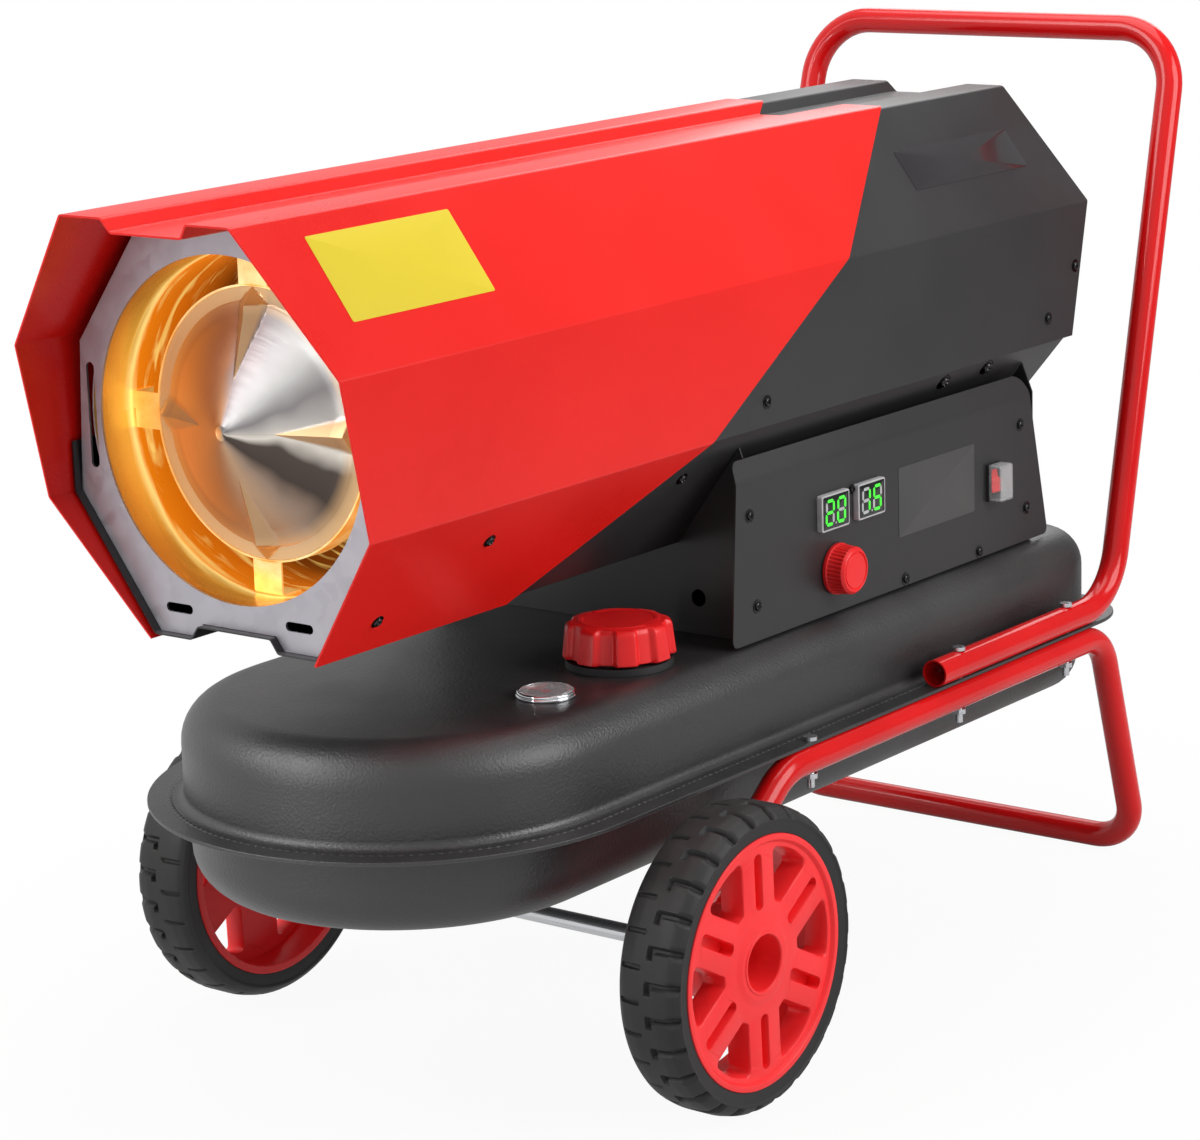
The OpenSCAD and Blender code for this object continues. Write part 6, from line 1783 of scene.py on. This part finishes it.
# %% Finishes by node
FINISHES = [
    (galvanised, ["outlet_plate", "heat_shield", "shield_spacers", "motor_cradle"]),
    (black_powder, ["chamber_saddles", "pedestal", "intake_guard"]),
    (dark_steel, ["burner_head", "fan_blade"]),
    (brass, ["fuel_nozzle", "filler_strainer", "float_arm"]),
    (ceramic, ["ignition_electrodes"]),
    (motor_paint, ["fan_motor", "ignition_transformer", "thermostat_body"]),
    (cast_metal, ["pump_housing", "pump_cover"]),
    (ground_steel, ["motor_shaft", "wheel_axle", "thermostat_shaft"]),
    (zinc_plate, ["axle_fittings", "frame_bolts"]),
    (copper, ["fuel_line", "fuel_pickup"]),
    (black_plastic, ["switch_body", "cord_gland", "filler_neck", "flame_sensor", "pump_rotor"]),
    (rubber, ["cap_gasket", "air_line"]),
    (board_lacquer, ["control_board"]),
    (red_plastic, ["switch_rocker", "gauge_needle"]),
    (clear_plastic, ["gauge_lens"]),
]
for finish, names in FINISHES:
    for name in names:
        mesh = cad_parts[name].data
        mesh.materials.clear()
        mesh.materials.append(finish)
print("finishes set on", sum(len(names) for finish, names in FINISHES), "nodes")

# %% [markdown]
# ## Stage
# The photograph stands on pure white with hardly any shadow. The floor and the world are white to the
# camera and through clear plastic. Reflections see white in front of the heater and a greyer room behind
# it and to its right, as in a studio, and that keeps the black coats black. Diffuse light from the world
# is weaker than the lamps.

# %% Floor
BACK_RIGHT = (0.55, 0.83, 0.0)


def seen_light(tree, side_share):
    """1 for rays from the camera or through clear plastic, and a share by direction for reflections."""
    path = add(tree, "LightPath").outputs
    direct = compute(tree, "MAXIMUM", path["Is Camera Ray"], path["Is Transmission Ray"])
    return compute(tree, "MAXIMUM", direct, compute(tree, "MULTIPLY", path["Is Glossy Ray"], side_share))


def forward_share(tree, place, near, far, dim):
    """Falls from 1 to a dim share along the way to the back right, measured with a fixed direction."""
    way = add(tree, "VectorMath", {0: place, 1: BACK_RIGHT}, operation="DOT_PRODUCT").outputs["Value"]
    return remap(tree, way, near, far, 1.0, dim)


def floor_finish():
    """Pale floor: white light of its own for seen rays, more of it further from the heater."""
    made, tree, shader = new_finish("pale floor", Roughness=0.9, Specular_IOR_Level=0.0)
    place = own_place(tree)
    pale = blend(tree, noise(tree, place, 3.0), (0.46, 0.46, 0.46, 1), (0.50, 0.50, 0.50, 1))
    feed(tree, shader, Base_Color=pale)
    flat = add(tree, "VectorMath", {0: place, 1: (1, 0.75, 0)}, operation="MULTIPLY")
    away = add(tree, "VectorMath", {0: flat.outputs[0]}, operation="LENGTH").outputs["Value"]
    seen = seen_light(tree, forward_share(tree, place, -0.6, 0.5, 0.2))
    share = compute(tree, "MULTIPLY", remap(tree, away, 0.25, 0.70, 0.94, 1.0), seen)
    white = add(tree, "Emission", {"Color": (1, 1, 1, 1), "Strength": 1.0})
    mix = add(tree, "MixShader", {0: share, 1: shader.outputs[0], 2: white.outputs[0]})
    feed(tree, tree.nodes["Material Output"], Surface=mix.outputs[0])
    return made


FLOOR_HALF = 15000.0
steps = np.linspace(-FLOOR_HALF, FLOOR_HALF, 3)
floor_grid = np.stack(np.broadcast_arrays(steps[:, None], steps[None, :], 0.0), -1)
floor_points, floor_quads = patch(floor_grid)
floor_mesh = bpy.data.meshes.new("floor")
floor_mesh.from_pydata((floor_points * MM).tolist(), [], floor_quads[:, ::-1].tolist())
floor_mesh.materials.append(floor_finish())
floor = bpy.data.objects.new("floor", floor_mesh)
bpy.context.scene.collection.objects.link(floor)
print("floor", 2 * FLOOR_HALF * MM, "m")

# %% [markdown]
# Five soft lamps stand round the heater. The key is in front on the left, a narrow strip draws a line
# along the tank's front, and the others light the side, the top and the back.

# %% World and lamps


def world_light(dim):
    """A white world for seen rays, greyer to reflections at the back right, and dim for diffuse light."""
    world = bpy.data.worlds.new("world")
    world.use_nodes = True
    tree = world.node_tree
    way = add(tree, "TexCoord").outputs["Generated"]
    seen = seen_light(tree, forward_share(tree, way, -0.5, 0.7, 0.3))
    sky = tree.nodes["Background"]
    feed(tree, sky, Strength=compute(tree, "MAXIMUM", seen, dim))
    sky.inputs["Color"].default_value = (1, 1, 1, 1)
    bpy.context.scene.world = world


def lamp(name, place, aim, watts, size):
    """A rectangular area lamp, wide and high, at a place and facing its aim."""
    light = bpy.data.lights.new(name, "AREA")
    light.shape = "RECTANGLE"
    light.energy = watts
    light.size, light.size_y = size
    held = bpy.data.objects.new(name, light)
    bpy.context.scene.collection.objects.link(held)
    held.location = place
    held.rotation_euler = (Vector(aim) - Vector(place)).to_track_quat("-Z", "Y").to_euler()


WORLD_DIM = 0.28
world_light(WORLD_DIM)
lamp("key", (-1.2, -2.2, 2.2), (0, -0.2, 0.4), 42, (1.4, 1.4))
lamp("strip", (-0.45, -2.5, 0.9), (0, 0, 0.5), 14, (0.07, 1.6))
lamp("side", (2.4, 0.6, 1.6), (0, 0, 0.4), 62, (1.8, 1.8))
lamp("top", (-0.2, 0.4, 2.6), (0, 0, 0.4), 36, (2.0, 2.0))
lamp("back", (-0.8, 2.4, 1.8), (0, 0, 0.4), 18, (1.6, 1.6))
bpy.context.scene.view_settings.view_transform = "Standard"
print("lamps", len(bpy.data.lights))
